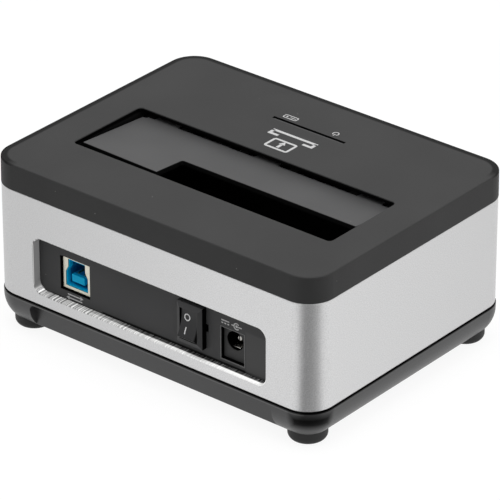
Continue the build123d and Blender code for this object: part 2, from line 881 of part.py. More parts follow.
def usb_contacts():
    strips = []
    y = (usb_back_y + usb_sheet + usb_fit + usb_back,
         usb_front_y - tongue_setback - contact_front_gap)
    low = usb_low_z + tongue_lift
    high = low + tongue_height
    for side in (-1, 1):
        x = span(usb_x + side * tongue_width / 4, contact_width)
        strips.append(block(x, y, (high, high + contact_thickness)))
        strips.append(block(x, y, (low - contact_thickness, low)))
    ceiling = usb_low_z + usb_height - usb_top_lining
    for place in range(-2, 3):
        x = span(usb_x + place * fast_contact_pitch, fast_contact_width)
        strips.append(block(x, y, (ceiling - contact_thickness, ceiling)))
    return strips


def dc_jack_body():
    y = (jack_back_y, jack_front_y)
    body = block(span(jack_x, jack_width), y, (board_z, board_z + jack_height))
    body = fillet(body.edges().filter_by(Axis.Y), jack_edge_round)
    return body - plug(jack_bore_radius, jack_x, (jack_front_y - jack_bore_depth,
                                                  jack_front_y + overrun), jack_axis_z)


def dc_jack_pin():
    y = (jack_front_y - jack_bore_depth, jack_front_y - jack_pin_setback)
    pin = plug(jack_pin_radius, jack_x, y, jack_axis_z)
    pin = fillet(pin.edges().sort_by(Axis.Y)[-1], jack_pin_radius / 2)
    return pin - block(span(jack_x, jack_pin_slot), (y[1] - jack_pin_slot_depth, y[1] + overrun),
                       span(jack_axis_z, 2 * jack_pin_radius + overrun))


def dc_jack_spring():
    high = [(0, 0), (jack_spring_length / 2, jack_spring_arch), (jack_spring_length, 0)]
    low = [(y, z - jack_spring_thickness) for y, z in reversed(high)]
    rim = (ThreePointArc(*high) + Line(high[-1], low[0]) + ThreePointArc(*low)
           + Line(low[-1], high[0]))
    side = Plane(origin=(0, 0, 0), x_dir=(0, 1, 0), z_dir=(1, 0, 0))
    leaf = extrude(side * make_face(rim), jack_spring_width / 2, both=True)
    return Pos(jack_x, jack_front_y - jack_bore_depth, jack_axis_z - jack_spring_drop) * leaf


def bezel():
    flange = extrude(Rectangle(switch_width, switch_height), switch_flange)
    lip = Rectangle(switch_width - 2 * switch_side_lip, switch_height - 2 * switch_end_lip)
    slope = loft([Pos(0, 0, switch_flange) * Rectangle(switch_width, switch_height),
                  Pos(0, 0, switch_flange + switch_slope) * lip])
    frame = flange + slope
    front = frame.edges().filter_by(lambda edge: edge.center().Z > switch_flange / 4)
    return fillet(front, switch_edge_round)


def switch_housing():
    front = Pos(switch_x, panel_face_y, switch_z) * Rot(-90, 0, 0) * bezel()
    body = block(span(switch_x, switch_body_width),
                 (panel_face_y - switch_body_depth, panel_face_y + switch_flange / 2),
                 span(switch_z, switch_body_height))
    housing = front + body
    room_x = span(switch_x, rocker_width + 2 * rocker_side_gap)
    mouth = mouth_half()
    housing -= block(room_x, (pivot_y, bezel_y + overrun), span(switch_z, 2 * mouth))
    housing -= bar(rocker_reach + rocker_gap, room_x, pivot_y, switch_z)
    housing -= bar(trunnion_radius + trunnion_gap,
                   span(switch_x, rocker_width + 2 * trunnion_length + 4 * rocker_side_gap),
                   pivot_y, switch_z)
    clip_y = (panel_back_y - clip_length, panel_back_y - panel_gap)
    for side in (-1, 1):
        wall_x = switch_x + side * switch_body_width / 2
        clip_x = sorted((wall_x - side * clip_bump, wall_x + side * clip_bump))
        housing += block(clip_x, clip_y, span(switch_z, clip_height))
    return housing


def mouth_half():
    level = rocker_pivot_depth - rocker_gap
    return sqrt((rocker_reach + rocker_gap) ** 2 - level ** 2)


def rocker_profile():
    crown = rocker_pivot_depth + rocker_crown
    half = sqrt(rocker_reach ** 2 - crown ** 2)
    back_half = sqrt(rocker_reach ** 2 - rocker_back ** 2)
    front = ThreePointArc((-half, crown), (0, rocker_pivot_depth - rocker_dip), (half, crown))
    right = ThreePointArc((half, crown), (rocker_reach, 0), (back_half, -rocker_back))
    back = Line((back_half, -rocker_back), (-back_half, -rocker_back))
    left = ThreePointArc((-back_half, -rocker_back), (-rocker_reach, 0), (-half, crown))
    return make_face(front + right + back + left)


def switch_rocker():
    sides = Plane(origin=(0, 0, 0), x_dir=(0, 0, 1), z_dir=(-1, 0, 0))
    solid = extrude(sides * rocker_profile(), rocker_width / 2, both=True)
    front = solid.edges().filter_by(lambda edge: edge.center().Y > 0)
    outer = front.filter_by(lambda edge: abs(edge.center().X) > rocker_width / 4
                            or abs(edge.center().Z) > rocker_reach / 2)
    solid = fillet(outer, rocker_edge_round)
    solid += bar(trunnion_radius, span(0, rocker_width + 2 * trunnion_length), 0, 0)
    return Pos(switch_x, pivot_y, switch_z) * Rot(rocker_tilt, 0, 0) * solid


# The switch's blades and the header that its leads run to
blade_back_y = panel_face_y - switch_body_depth - terminal_length
blade_mid_y = blade_back_y + terminal_width / 2
header_z = board_z + header_height


def switch_terminals():
    blades = []
    y = (blade_back_y, panel_face_y - switch_body_depth)
    for side in (-1, 1):
        z = switch_z + side * terminal_pitch / 2
        blades.append(block(span(switch_x, terminal_width), y, span(z, terminal_thickness)))
    return blades


def tube(points, radius, bend):
    path = FilletPolyline(*points, radius=bend)
    section = Plane(origin=path @ 0, z_dir=path % 0) * Circle(radius)
    return sweep(section, path=path)


def switch_leads():
    leads = []
    start_x = switch_x + terminal_width / 2
    plug_x = start_x + switch_lead_length - plug_length
    for side in (-1, 1):
        high = switch_z + side * terminal_pitch / 2
        low = board_z + plug_height / 2
        y = blade_mid_y + side * header_pitch / 2
        points = [(start_x, blade_mid_y, high), (start_x + switch_lead_run, blade_mid_y, high),
                  (plug_x - switch_lead_run, y, low), (plug_x, y, low)]
        leads.append(tube(points, lead_radius, lead_bend))
    return leads


def switch_header():
    end_x = switch_x + terminal_width / 2 + switch_lead_length
    return block((end_x - plug_length, end_x), span(blade_mid_y, plug_width),
                 (board_z, board_z + plug_height))


def header(x, y, pins):
    width = header_width + (pins - 2) * header_pitch
    return block(span(x, width), span(y, header_depth), (board_z, header_z))


def main_led_header():
    return header(slit_x + led_lead_shift, slit_y, 3)


def led_header():
    low = led_board_low_z
    width = header_width + header_pitch
    return block(span(slit_x, width), span(slit_y, header_depth),
                 (low - header_height / 2, low))


def led_leads():
    leads = []
    top = led_board_low_z - header_height / 2
    third = (top - header_z) / 3
    for pin in (-1, 0, 1):
        x = slit_x + pin * header_pitch
        far_x = x + led_lead_shift
        points = [(x, slit_y, top), (x, slit_y, top - third),
                  (far_x, slit_y, header_z + third), (far_x, slit_y, header_z)]
        leads.append(tube(points, lead_radius, lead_bend))
    return leads


def sata_socket():
    base = block(span(sata_x, sata_base_length), span(sata_y, sata_base_width),
                 (board_z, board_z + sata_base_height))
    body = block(span(sata_x, sata_length), span(sata_y, sata_width),
                 (board_z, sata_top_z))
    socket = base + body
    for x in sata_slots():
        socket -= block(x, span(sata_y, sata_slot_width),
                        (sata_top_z - sata_slot_depth, sata_top_z + overrun))
    return socket


def sata_slots():
    both = signal_slot + power_slot + slot_web
    left = sata_x - both / 2
    return [(left, left + power_slot), (left + power_slot + slot_web, left + both)]


def sata_contacts():
    strips = []
    wall_y = sata_y - sata_slot_width / 2
    z = (sata_top_z - sata_slot_depth, sata_top_z - sata_slot_depth + sata_contact_height)
    for slot, count in zip(sata_slots(), (power_contacts, signal_contacts)):
        middle = (slot[0] + slot[1]) / 2
        for place in range(count):
            x = middle + (place - (count - 1) / 2) * sata_pitch
            strips.append(block(span(x, sata_contact_width),
                                (wall_y, wall_y + sata_contact_thickness), z))
    return strips


def bridge_chip():
    chip = block(span(chip_share * board_width, chip_size), span(parts_y, chip_size),
                 (board_z, board_z + chip_height))
    return chamfer(chip.edges().group_by(Axis.Z)[-1], chip_bevel)


def regulator_chips():
    x = span(regulator_share * board_width, regulator_length)
    return [block(x, span(parts_y + side * regulator_pitch / 2, regulator_width),
                  (board_z, board_z + regulator_height)) for side in (-1, 1)]


# The capacitors stand beside the lights' header, and the inductors beside the capacitors
header_end_x = slit_x + led_lead_shift + (header_width + header_pitch) / 2
capacitor_x = header_end_x + header_side_gap + capacitor_radius
capacitor_end_x = capacitor_x + (capacitor_count - 1) * capacitor_pitch + capacitor_radius
inductor_x = capacitor_end_x + inductor_gap + inductor_size / 2


def power_inductors():
    coils = []
    for side in (-1, 1):
        coil = block(span(inductor_x, inductor_size),
                     span(parts_y + side * inductor_pitch / 2, inductor_size),
                     (board_z, board_z + inductor_height))
        coils.append(fillet(coil.edges().filter_by(Axis.Z), inductor_round))
    return coils


def capacitors():
    cans = []
    for place in range(capacitor_count):
        x = capacitor_x + place * capacitor_pitch
        can = post(capacitor_radius, x, parts_y, board_z, board_z + capacitor_height)
        cans.append(fillet(can.edges().group_by(Axis.Z)[-1], capacitor_round))
    return cans


def clock_crystal():
    can = block(span(crystal_share * board_width, crystal_length),
                span(parts_y, crystal_width), (board_z, board_z + crystal_height))
    return fillet(can.edges().filter_by(Axis.Z), crystal_width / 3)


def light_guide():
    x = span(slit_x, slit_length - 2 * guide_gap)
    y = span(slit_y, slit_width - 2 * guide_gap)
    high = top_z - guide_sink
    strip = block(x, y, (high - guide_length_down, high))
    flange = block((x[0] - guide_flange, x[1] + guide_flange),
                   (y[0] - guide_flange, y[1] + guide_flange),
                   (plate_z - guide_flange_height, plate_z))
    return strip + flange


def led_board():
    board = block(span(slit_x, led_board_length), span(slit_y, led_board_width),
                  (led_board_low_z, led_board_top_z))
    for x, y in led_post_places():
        board -= post(small_screw_radius + screw_hole_gap, x, y,
                      led_board_top_z - 2 * led_board_thickness, led_board_top_z + overrun)
    return board


def led(x):
    return block(span(x, led_length), span(slit_y, led_width),
                 (led_board_top_z, led_board_top_z + led_height))


def write(name, *solids):
    shape = solids[0] if len(solids) == 1 else Compound(children=list(solids))
    export_step(shape, f"parts/{name}.step")


def write_body():
    write("body_sleeve", body_sleeve())
    write("top_cover", top_cover())
    write("base_tray", base_tray())
    ends = {-1: "front", 1: "rear"}
    sides = {-1: "left", 1: "right"}
    for side_x in sides:
        for side_y in ends:
            name = f"foot_{ends[side_y]}_{sides[side_x]}"
            write(name, foot(side_x * foot_x, side_y * foot_y))
    write("case_screws", *case_screws())
    write("rear_panel", rear_panel())


def write_bay():
    write("drive_bay", drive_bay())
    tab_low_z = bay_tab_top_z - bay_tab_thickness
    write("bay_screws", *small_screws(bay_screw_places(), tab_low_z,
                                      small_screw_length - overrun))
    write("flap_door", flap_door())
    write("flap_hinge_pin", flap_hinge_pin())
    write("flap_spring", flap_spring())


def write_ports():
    write("usb_shell", usb_shell())
    write("usb_insulator", usb_insulator())
    write("usb_contacts", *usb_contacts())
    write("dc_jack_body", dc_jack_body())
    write("dc_jack_pin", dc_jack_pin())
    write("dc_jack_spring", dc_jack_spring())
    write("switch_housing", switch_housing())
    write("switch_rocker", switch_rocker())
    write("switch_terminals", *switch_terminals())
    write("switch_leads", *switch_leads())
    write("switch_header", switch_header())


def write_electronics():
    write("main_board", main_board())
    write("board_screws", *board_screws())
    write("sata_socket", sata_socket())
    write("sata_contacts", *sata_contacts())
    write("bridge_chip", bridge_chip())
    write("regulator_chips", *regulator_chips())
    write("power_inductors", *power_inductors())
    write("capacitors", *capacitors())
    write("clock_crystal", clock_crystal())
    write("light_guide", light_guide())
    write("led_board", led_board())
    write("led_board_screws", *small_screws(led_post_places(), led_board_low_z,
                                            small_screw_length - overrun))
    write("drive_led", led(slit_x + drive_led_share * slit_length))
    write("power_led", led(slit_x + power_led_share * slit_length))
    write("led_header", led_header())
    write("main_led_header", main_led_header())
    write("led_leads", *led_leads())


os.makedirs("parts", exist_ok=True)
write_body()
write_bay()
write_ports()
write_electronics()
print("overall", base_width, "x", base_depth, "x", top_z)
print("flap tilt", flap_tilt, "hinge at", hinge_y, hinge_z)
print("rocker pivot at", switch_x, pivot_y, switch_z)
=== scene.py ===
# %% [markdown]
# A desktop docking station for bare hard drives, dressed for a studio picture. The solids come
# in ready made, with their true sizes, so this script is about surfaces: moulded black plastic,
# bead-blasted aluminium, a tin-plated socket with a blue insulator, and the small printed marks.
# The first cell loads the solids, with a helper that reads the box of any one of them.

# %% Load the solid model
import json
import math
import bmesh
import bpy
from mathutils import Matrix, Vector


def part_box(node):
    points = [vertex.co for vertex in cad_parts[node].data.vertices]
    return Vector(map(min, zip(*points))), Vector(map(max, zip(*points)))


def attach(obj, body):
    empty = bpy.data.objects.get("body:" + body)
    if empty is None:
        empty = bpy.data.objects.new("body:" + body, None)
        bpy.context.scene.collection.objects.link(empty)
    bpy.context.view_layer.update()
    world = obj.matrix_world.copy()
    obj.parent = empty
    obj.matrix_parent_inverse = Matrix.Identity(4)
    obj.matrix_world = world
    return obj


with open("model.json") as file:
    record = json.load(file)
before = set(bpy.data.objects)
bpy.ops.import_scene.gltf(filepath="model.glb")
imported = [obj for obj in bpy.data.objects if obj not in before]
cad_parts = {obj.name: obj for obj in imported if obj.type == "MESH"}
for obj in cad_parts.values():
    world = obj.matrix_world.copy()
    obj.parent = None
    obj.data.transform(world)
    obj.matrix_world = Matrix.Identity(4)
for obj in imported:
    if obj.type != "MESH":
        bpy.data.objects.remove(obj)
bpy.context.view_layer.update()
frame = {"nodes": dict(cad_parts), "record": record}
nodes = frame["nodes"]
mm = 0.001

# %% [markdown]
# A Blender material is a network of nodes, joined from output sockets to input sockets. In the
# editor they are placed and joined by hand, and written out in code each one takes four or five
# lines. One helper does it here: it makes a node, sets its options, and feeds each input with a
# plain value or with another node's output. Short names for arithmetic and for a change of range
# keep the recipes further down easy to read.

# %% Helpers that wire nodes
def add_node(tree, kind, feeds=None, **options):
    node = tree.nodes.new(kind)
    for name, value in options.items():
        setattr(node, name, value)
    for socket, value in (feeds or {}).items():
        if isinstance(value, bpy.types.NodeSocket):
            tree.links.new(value, node.inputs[socket])
        else:
            node.inputs[socket].default_value = value
    return node


def compute(tree, operation, *values):
    feeds = dict(enumerate(values))
    return add_node(tree, "ShaderNodeMath", feeds, operation=operation).outputs["Value"]


def compute_vector(tree, operation, *values):
    feeds = dict(enumerate(values))
    return add_node(tree, "ShaderNodeVectorMath", feeds, operation=operation).outputs


def spread(tree, value, low, high, start=0.0, end=1.0, **options):
    feeds = {"Value": value, "From Min": start, "From Max": end, "To Min": low, "To Max": high}
    return add_node(tree, "ShaderNodeMapRange", feeds, **options).outputs["Result"]


def feed(tree, node, **sockets):
    for label, value in sockets.items():
        tree.links.new(value, node.inputs[label.replace("_", " ")])


print("helpers: add_node, compute, compute_vector, spread, feed")

# %% [markdown]
# Every pattern here follows the object's own coordinates, in metres. An unwrapped map would do
# too, but these solids have none, and with true coordinates a grain can be asked for by its
# size. Each piece keeps its own coordinates, so its pattern rides along when a part moves.

# %% Helpers that read a point's own place
def own_place(tree):
    return add_node(tree, "ShaderNodeTexCoord").outputs["Object"]


def own_facing(tree):
    return add_node(tree, "ShaderNodeTexCoord").outputs["Normal"]


def axes(tree, vector):
    return add_node(tree, "ShaderNodeSeparateXYZ", {0: vector}).outputs


print("helpers: own_place, own_facing, axes")

# %% [markdown]
# Every finish starts from the Principled BSDF, the shader that covers plastics and metals alike.
# Values that are the same all over a surface go straight onto its sockets. Colours that change
# come from a ramp, which turns a pattern between 0 and 1 into a scale of colours, or from a mix
# of two colours by a mask. Noise keeps mostly between 0.3 and 0.7, so a cloudy colour has the
# ends of its ramp there. With the ends at 0 and 1 it would look flat.

# %% Helpers that start a material and mix its colours
white = (1.0, 1.0, 1.0, 1.0)
noise_low, noise_high = 0.3, 0.7


def new_material(name, metallic=0.0, roughness=0.5, specular=0.5):
    material = bpy.data.materials.new(name)
    material.use_nodes = True
    shader = material.node_tree.nodes["Principled BSDF"]
    shader.inputs["Metallic"].default_value = metallic
    shader.inputs["Roughness"].default_value = roughness
    shader.inputs["Specular IOR Level"].default_value = specular
    return material, material.node_tree, shader


def grey(tone):
    return (tone, tone, tone)


def ramp(tree, factor, stops):
    node = add_node(tree, "ShaderNodeValToRGB", {"Fac": factor})
    scale = node.color_ramp.elements
    for element, (position, colour) in ((scale[0], stops[0]), (scale[1], stops[-1])):
        element.position = position
        element.color = (*colour, 1.0)
    for position, colour in stops[1:-1]:
        scale.new(position).color = (*colour, 1.0)
    return node.outputs["Color"]


def cloudy(tree, pattern, dark, pale):
    return ramp(tree, pattern, [(noise_low, dark), (noise_high, pale)])


def mix_colour(tree, factor, first, second):
    first, second = [colour if isinstance(colour, bpy.types.NodeSocket) else (*colour, 1.0)
                     for colour in (first, second)]
    feeds = {0: factor, 6: first, 7: second}
    return add_node(tree, "ShaderNodeMix", feeds, data_type="RGBA").outputs[2]


def mix_value(tree, factor, first, second):
    return add_node(tree, "ShaderNodeMix", {0: factor, 2: first, 3: second}).outputs[0]


def bump(tree, shader, height, distance, lean=None):
    feeds = {"Distance": distance, "Height": height}
    if lean is not None:
        feeds["Normal"] = lean
    feed(tree, shader, Normal=add_node(tree, "ShaderNodeBump", feeds).outputs["Normal"])


print("helpers: new_material, ramp, cloudy, mix_colour, mix_value, bump")

# %% [markdown]
# The picture was taken from behind and above with a long lens, so parallel edges stay almost
# parallel. A camera could be aimed by hand until the view fits. This one was fitted to the
# edges of the body in the picture, so its turn is written as two directions: what is to the
# right in the picture, and what is up.

# %% Camera
camera_place = Vector((-0.763313, 0.920767, 0.677351))
camera_right = Vector((-0.77032, -0.63765, -0.00089))
camera_up = Vector((0.30308, -0.36737, 0.87931))


def add_object(name, data):
    made = bpy.data.objects.new(name, data)
    bpy.context.scene.collection.objects.link(made)
    return made


camera_data = bpy.data.cameras.new("studio_camera")
camera_data.lens = 300.49
camera_data.sensor_width = 36.0
camera_data.clip_end = 20.0
camera = add_object("studio_camera", camera_data)
camera_turn = Matrix((camera_right, camera_up, camera_right.cross(camera_up))).transposed()
camera.matrix_world = Matrix.Translation(camera_place) @ camera_turn.to_4x4()
bpy.context.scene.camera = camera
bpy.context.scene.view_settings.view_transform = "Standard"
print("camera is", round(camera_place.length, 2), "m from the origin")

# %% [markdown]
# A product picture has a clean white background. More light would whiten it, but would bleach
# the object too. Here the world is white to the camera and to reflections, and dim to
# everything else, so the lamps stay at a level that shows colours as they are. The Light Path
# node tells which kind of ray is asking.

# %% World
air_seen = 1.0
air_glow = 0.25


def white_to_camera(tree, white_strength, plain_strength):
    rays = add_node(tree, "ShaderNodeLightPath").outputs
    seen = compute(tree, "MAXIMUM", rays["Is Camera Ray"], rays["Is Glossy Ray"])
    seen = compute(tree, "MAXIMUM", seen, rays["Is Transmission Ray"])
    return spread(tree, seen, plain_strength, white_strength)


world = bpy.data.worlds.new("studio_air")
bpy.context.scene.world = world
world.use_nodes = True
background = world.node_tree.nodes["Background"]
background.inputs["Color"].default_value = white
feed(world.node_tree, background, Strength=white_to_camera(world.node_tree, air_seen, air_glow))
print("air glows at", air_glow, "on the object and at", air_seen, "in the picture")

# %% [markdown]
# The floor is one large sheet just under the feet. A curved backdrop would do as well, but the
# camera looks down, so the floor fills the picture. To the camera it gives out most of its
# white by itself and takes the rest from the lamps, so the body still drops a faint shadow on
# it. To the object it is an ordinary pale floor that throws light back up.

# %% Floor
floor_side = 6.0
floor_level = -0.05 * mm
floor_glow = 0.91
floor_tone_seen, floor_tone_plain = 0.12, 0.62


def finished_piece(name, shape, material):
    mesh = bpy.data.meshes.new(name)
    shape.to_mesh(mesh)
    shape.free()
    mesh.materials.append(material)
    return add_object(name, mesh)


def floor_paint():
    paint, tree, shader = new_material("floor_paint", roughness=0.9, specular=0.1)
    feed(tree, shader, Base_Color=white_to_camera(tree, floor_tone_seen, floor_tone_plain),
         Emission_Strength=white_to_camera(tree, floor_glow, 0.0))
    shader.inputs["Emission Color"].default_value = white
    return paint


floor_shape = bmesh.new()
bmesh.ops.create_grid(floor_shape, x_segments=1, y_segments=1, size=floor_side / 2)
bmesh.ops.translate(floor_shape, vec=(0.0, 0.0, floor_level), verts=floor_shape.verts)
floor = finished_piece("studio_floor", floor_shape, floor_paint())
print("floor is", floor_side, "m wide")

# %% [markdown]
# Two soft boxes light the body: a large one overhead, which also draws the even sheen on the
# cover, and a weak one at the side of the inlet. Point lamps would throw hard shadows. Large
# area lamps give soft ones, as in a studio.

# %% Lamps
def soft_lamp(name, place, target, size, power):
    light = bpy.data.lights.new(name, "AREA")
    light.shape = "RECTANGLE"
    light.size, light.size_y = size
    light.energy = power
    lamp = add_object(name, light)
    lamp.location = place
    lamp.rotation_mode = "QUATERNION"
    lamp.rotation_quaternion = (target - place).to_track_quat("-Z", "Y")
    print(name, "of", power, "W")


body_middle = Vector((0.0, 0.0, 0.03))
soft_lamp("top_lamp", Vector((-0.1, 0.1, 1.3)), body_middle, size=(1.3, 1.2), power=13.0)
soft_lamp("side_lamp", Vector((-1.2, 0.1, 0.5)), body_middle, size=(0.8, 0.7), power=2.5)

# %% [markdown]
# Bare metal looks like whatever it reflects. In front of the corner nearest the camera lies a
# dark card that only reflections can see. It draws the soft dark streak down the rounded corner
# of the sleeve, which is what makes the eye read the sleeve as metal. The streak could be
# painted, but then it would stay the same from every side, which a reflection never does.

# %% Paint of the dark card
near_corner = (-57.9 * mm, 41.0 * mm)
card_turns = (math.radians(101.0), math.radians(172.0))
card_greys = (0.08, 0.40)


def card_paint():
    paint, tree, shader = new_material("card_paint", roughness=0.9, specular=0.0)
    shader.inputs["Base Color"].default_value = (0.03, 0.03, 0.03, 1.0)
    shader.inputs["Emission Color"].default_value = white
    offset = compute_vector(tree, "SUBTRACT", own_place(tree), (*near_corner, 0.0))["Vector"]
    offset = axes(tree, offset)
    turned = compute(tree, "ARCTAN2", offset["Y"], offset["X"])
    feed(tree, shader, Emission_Strength=spread(tree, turned, *card_greys, *card_turns))
    return paint


print("card's grey goes from", card_greys[0], "to", card_greys[1])

# %% [markdown]
# The card is one edge spun round the corner's own centre, so the streak is as wide at the top
# of the sleeve as at its foot. A straight card would give a wedge. The card's grey grows paler
# along the turn, so one border of the streak is softer than the other. The card is switched off
# for every kind of ray but reflections.

# %% Dark card beside the near corner
card_reach = (20.0 * mm, 600.0 * mm)
card_level = 0.2 * mm
card_steps = 16


def spoke(centre, turn, reach, level=0.0):
    centre_x, centre_y = centre
    return centre_x + reach * math.cos(turn), centre_y + reach * math.sin(turn), level


card_shape = bmesh.new()
card_start, card_end = card_turns
card_ends = [card_shape.verts.new(spoke(near_corner, card_start, reach, card_level))
             for reach in card_reach]
card_edge = card_shape.edges.new(card_ends)
bmesh.ops.spin(card_shape, geom=card_ends + [card_edge], cent=(*near_corner, 0.0),
               axis=(0.0, 0.0, 1.0), angle=card_end - card_start, steps=card_steps,
               use_duplicate=False)
card = finished_piece("studio_dark_card", card_shape, card_paint())
for kind in ("camera", "diffuse", "shadow", "transmission", "volume_scatter"):
    setattr(card, "visible_" + kind, False)
print("dark card has", len(card.data.polygons), "faces")

# %% [markdown]
# Black moulded plastic is never one flat black. The mould leaves a fine grain, and the shade
# drifts a little over the part. Both are noise, at two sizes. They are built once, as a node
# group with named inputs, so that every finish uses the same effect with its own values. The
# nodes could be written out in each material, but a change would then be made over 20 times.

# %% Grain of the mould
def new_group(name, inputs, output_labels):
    group = bpy.data.node_groups.new(name, "ShaderNodeTree")
    for label, value in inputs.items():
        kind = "NodeSocketFloat" if isinstance(value, float) else "NodeSocketVector"
        socket = group.interface.new_socket(label, in_out="INPUT", socket_type=kind)
        socket.default_value = value
    for label in output_labels:
        group.interface.new_socket(label, in_out="OUTPUT", socket_type="NodeSocketFloat")
    start, end = add_node(group, "NodeGroupInput"), add_node(group, "NodeGroupOutput")
    return group, start.outputs, end


def mould_grain_group():
    group, start, end = new_group("mould_grain", {"Grain Scale": 4500.0, "Drift Scale": 35.0},
                                  ["Grain", "Drift"])
    place = own_place(group)
    grain = add_node(group, "ShaderNodeTexNoise", {"Vector": place, "Scale": start["Grain Scale"],
                                                   "Detail": 3.0, "Roughness": 0.6})
    drift = add_node(group, "ShaderNodeTexNoise", {"Vector": place, "Scale": start["Drift Scale"],
                                                   "Detail": 2.0})
    feed(group, end, Grain=grain.outputs["Fac"], Drift=drift.outputs["Fac"])
    return group


def effect(tree, group, **values):
    feeds = {label.replace("_", " "): value for label, value in values.items()}
    return add_node(tree, "ShaderNodeGroup", feeds, node_tree=group).outputs


mould_grain = mould_grain_group()
print("shared effect:", mould_grain.name)

# %% [markdown]
# A few specks of dust catch the light on any black part. Small pieces scattered over the
# surface would cost many faces. A pattern of cells parts space instead, each cell with a colour
# drawn by lot. Cells with a low draw get a speck, which is the round part near their centre.

# %% Dust
speck_edge, speck_core = 0.16, 0.05


def dust_group():
    group, start, end = new_group("dust_specks", {"Speck Scale": 700.0, "Amount": 0.1}, ["Speck"])
    cells = add_node(group, "ShaderNodeTexVoronoi", {"Vector": own_place(group),
                                                     "Scale": start["Speck Scale"]}).outputs
    chance = add_node(group, "ShaderNodeSeparateColor", {"Color": cells["Color"]}).outputs["Red"]
    chosen = compute(group, "LESS_THAN", chance, start["Amount"])
    near = spread(group, cells["Distance"], 0.0, 1.0, speck_edge, speck_core,
                  interpolation_type="SMOOTHSTEP")
    feed(group, end, Speck=compute(group, "MULTIPLY", near, chosen))
    return group


dust_specks = dust_group()
print("shared effect:", dust_specks.name)

# %% [markdown]
# Some finishes hold only at one place of a solid: the milled window, the dark inside of a port
# hole, a worn edge. Such a place could be cut out as faces with a second material, but then its
# border would be as hard as an edge. Three masks pick places out by their coordinates instead.
# The first is 1 inside a box and 0 outside it, with a soft border.

# %% A mask that is a box
thin_border = 0.05 * mm
nowhere = Vector((0.0, 0.0, 0.0))


def box_mask_group():
    group, start, end = new_group("box_mask", {"Low Corner": nowhere, "High Corner": nowhere,
                                               "Border": thin_border}, ["Mask"])
    place = own_place(group)
    above = compute_vector(group, "SUBTRACT", place, start["Low Corner"])["Vector"]
    below = compute_vector(group, "SUBTRACT", start["High Corner"], place)["Vector"]
    depths = axes(group, compute_vector(group, "MINIMUM", above, below)["Vector"])
    depth = compute(group, "MINIMUM", depths["X"], depths["Y"])
    depth = compute(group, "MINIMUM", depth, depths["Z"])
    feed(group, end, Mask=spread(group, depth, 0.0, 1.0, 0.0, start["Border"]))
    return group


box_mask = box_mask_group()
print("mask:", box_mask.name)

# %% [markdown]
# The second mask draws a thin line round a hole in the rear panel, where the punched edge gets a
# painted highlight. The line is where the larger of two distances is close to nothing: how far a
# point is past the hole's half width, and how far it is past its half height.

# %% A mask that is a line round a hole
def hole_line_group():
    group, start, end = new_group("hole_line", {"Centre X": 0.0, "Centre Z": 0.0,
                                                "Half Width": 5.0 * mm, "Half Height": 5.0 * mm,
                                                "Thickness": 0.1 * mm}, ["Line"])
    place = axes(group, own_place(group))
    past = []
    for axis, half in (("X", "Half Width"), ("Z", "Half Height")):
        offset = compute(group, "SUBTRACT", place[axis], start["Centre " + axis])
        size = compute(group, "ABSOLUTE", offset)
        past.append(compute(group, "SUBTRACT", size, start[half]))
    away = compute(group, "ABSOLUTE", compute(group, "MAXIMUM", *past))
    feed(group, end, Line=compute(group, "LESS_THAN", away, start["Thickness"]))
    return group


hole_line = hole_line_group()
print("mask:", hole_line.name)

# %% [markdown]
# The third measures how far a point lies inside an outline with rounded corners, seen from
# above. That is the corner's radius less the distance from the corner's centre, where only what
# lies past that centre counts. The band along the rim of the cover comes from it.

# %% A distance from a rounded rim
def rim_distance_group():
    group, start, end = new_group("rim_distance", {"Centre": nowhere, "Half Size": nowhere,
                                                   "Corner": 10.0 * mm}, ["Inside"])
    offset = compute_vector(group, "SUBTRACT", own_place(group), start["Centre"])["Vector"]
    size = compute_vector(group, "ABSOLUTE", offset)["Vector"]
    past = axes(group, compute_vector(group, "SUBTRACT", size, start["Half Size"])["Vector"])
    flat = {}
    for axis in ("X", "Y"):
        grown = compute(group, "ADD", past[axis], start["Corner"])
        flat[axis] = compute(group, "MAXIMUM", grown, 0.0)
    flat = add_node(group, "ShaderNodeCombineXYZ", flat).outputs["Vector"]
    length = compute_vector(group, "LENGTH", flat)["Value"]
    feed(group, end, Inside=compute(group, "SUBTRACT", start["Corner"], length))
    return group


rim_distance = rim_distance_group()
print("mask:", rim_distance.name)

# %% [markdown]
# On top of its plain plastic a part gets coats, one after another, as paint would go on. Each
# coat is a small function that takes the colour so far and gives back the new one. Many coats are
# painted shade, for gaps and hollows where little light gets in. Under a white sky even black
# plastic shines grey, so a coat of deep painted shade also gives back its mask. There the plastic
# is turned into a dark metal, which reflects only its own colour, and a gap looks deep. Any other
# coat gives back None.

# %% Coats of paint
black = grey(0.003)
# painted shade darker than this counts as deep, and is made a dark metal
painted_shade_limit = 0.02
plastic_drift = 30.0


def patch(low, high, shade, border=thin_border):
    def coat(tree, colour):
        mask = effect(tree, box_mask, Low_Corner=low, High_Corner=high, Border=border)["Mask"]
        # a patch darker than the limit is deep painted shade, and gives back its mask
        deep = mask if max(shade) < painted_shade_limit else None
        return mix_colour(tree, mask, colour, shade), deep
    return coat


def facing_away(tree, direction, start, end):
    along = compute_vector(tree, "DOT_PRODUCT", own_facing(tree), direction)["Value"]
    return spread(tree, along, 1.0, 0.0, start, end)


def turned_away(direction, start, end, shade=black):
    def coat(tree, colour):
        mask = facing_away(tree, direction, start, end)
        return mix_colour(tree, mask, colour, shade), mask
    return coat


# painted highlight: a pale line round a hole, broken up by the grain
def edge_highlight_line(line, shade, grain_scale):
    def coat(tree, colour):
        grain = effect(tree, mould_grain, Grain_Scale=grain_scale, Drift_Scale=plastic_drift)
        highlight = mix_colour(tree, grain["Grain"], colour, shade)
        return mix_colour(tree, effect(tree, hole_line, **line)["Line"], colour, highlight), None
    return coat


print("coats: patch, turned_away, edge_highlight_line")

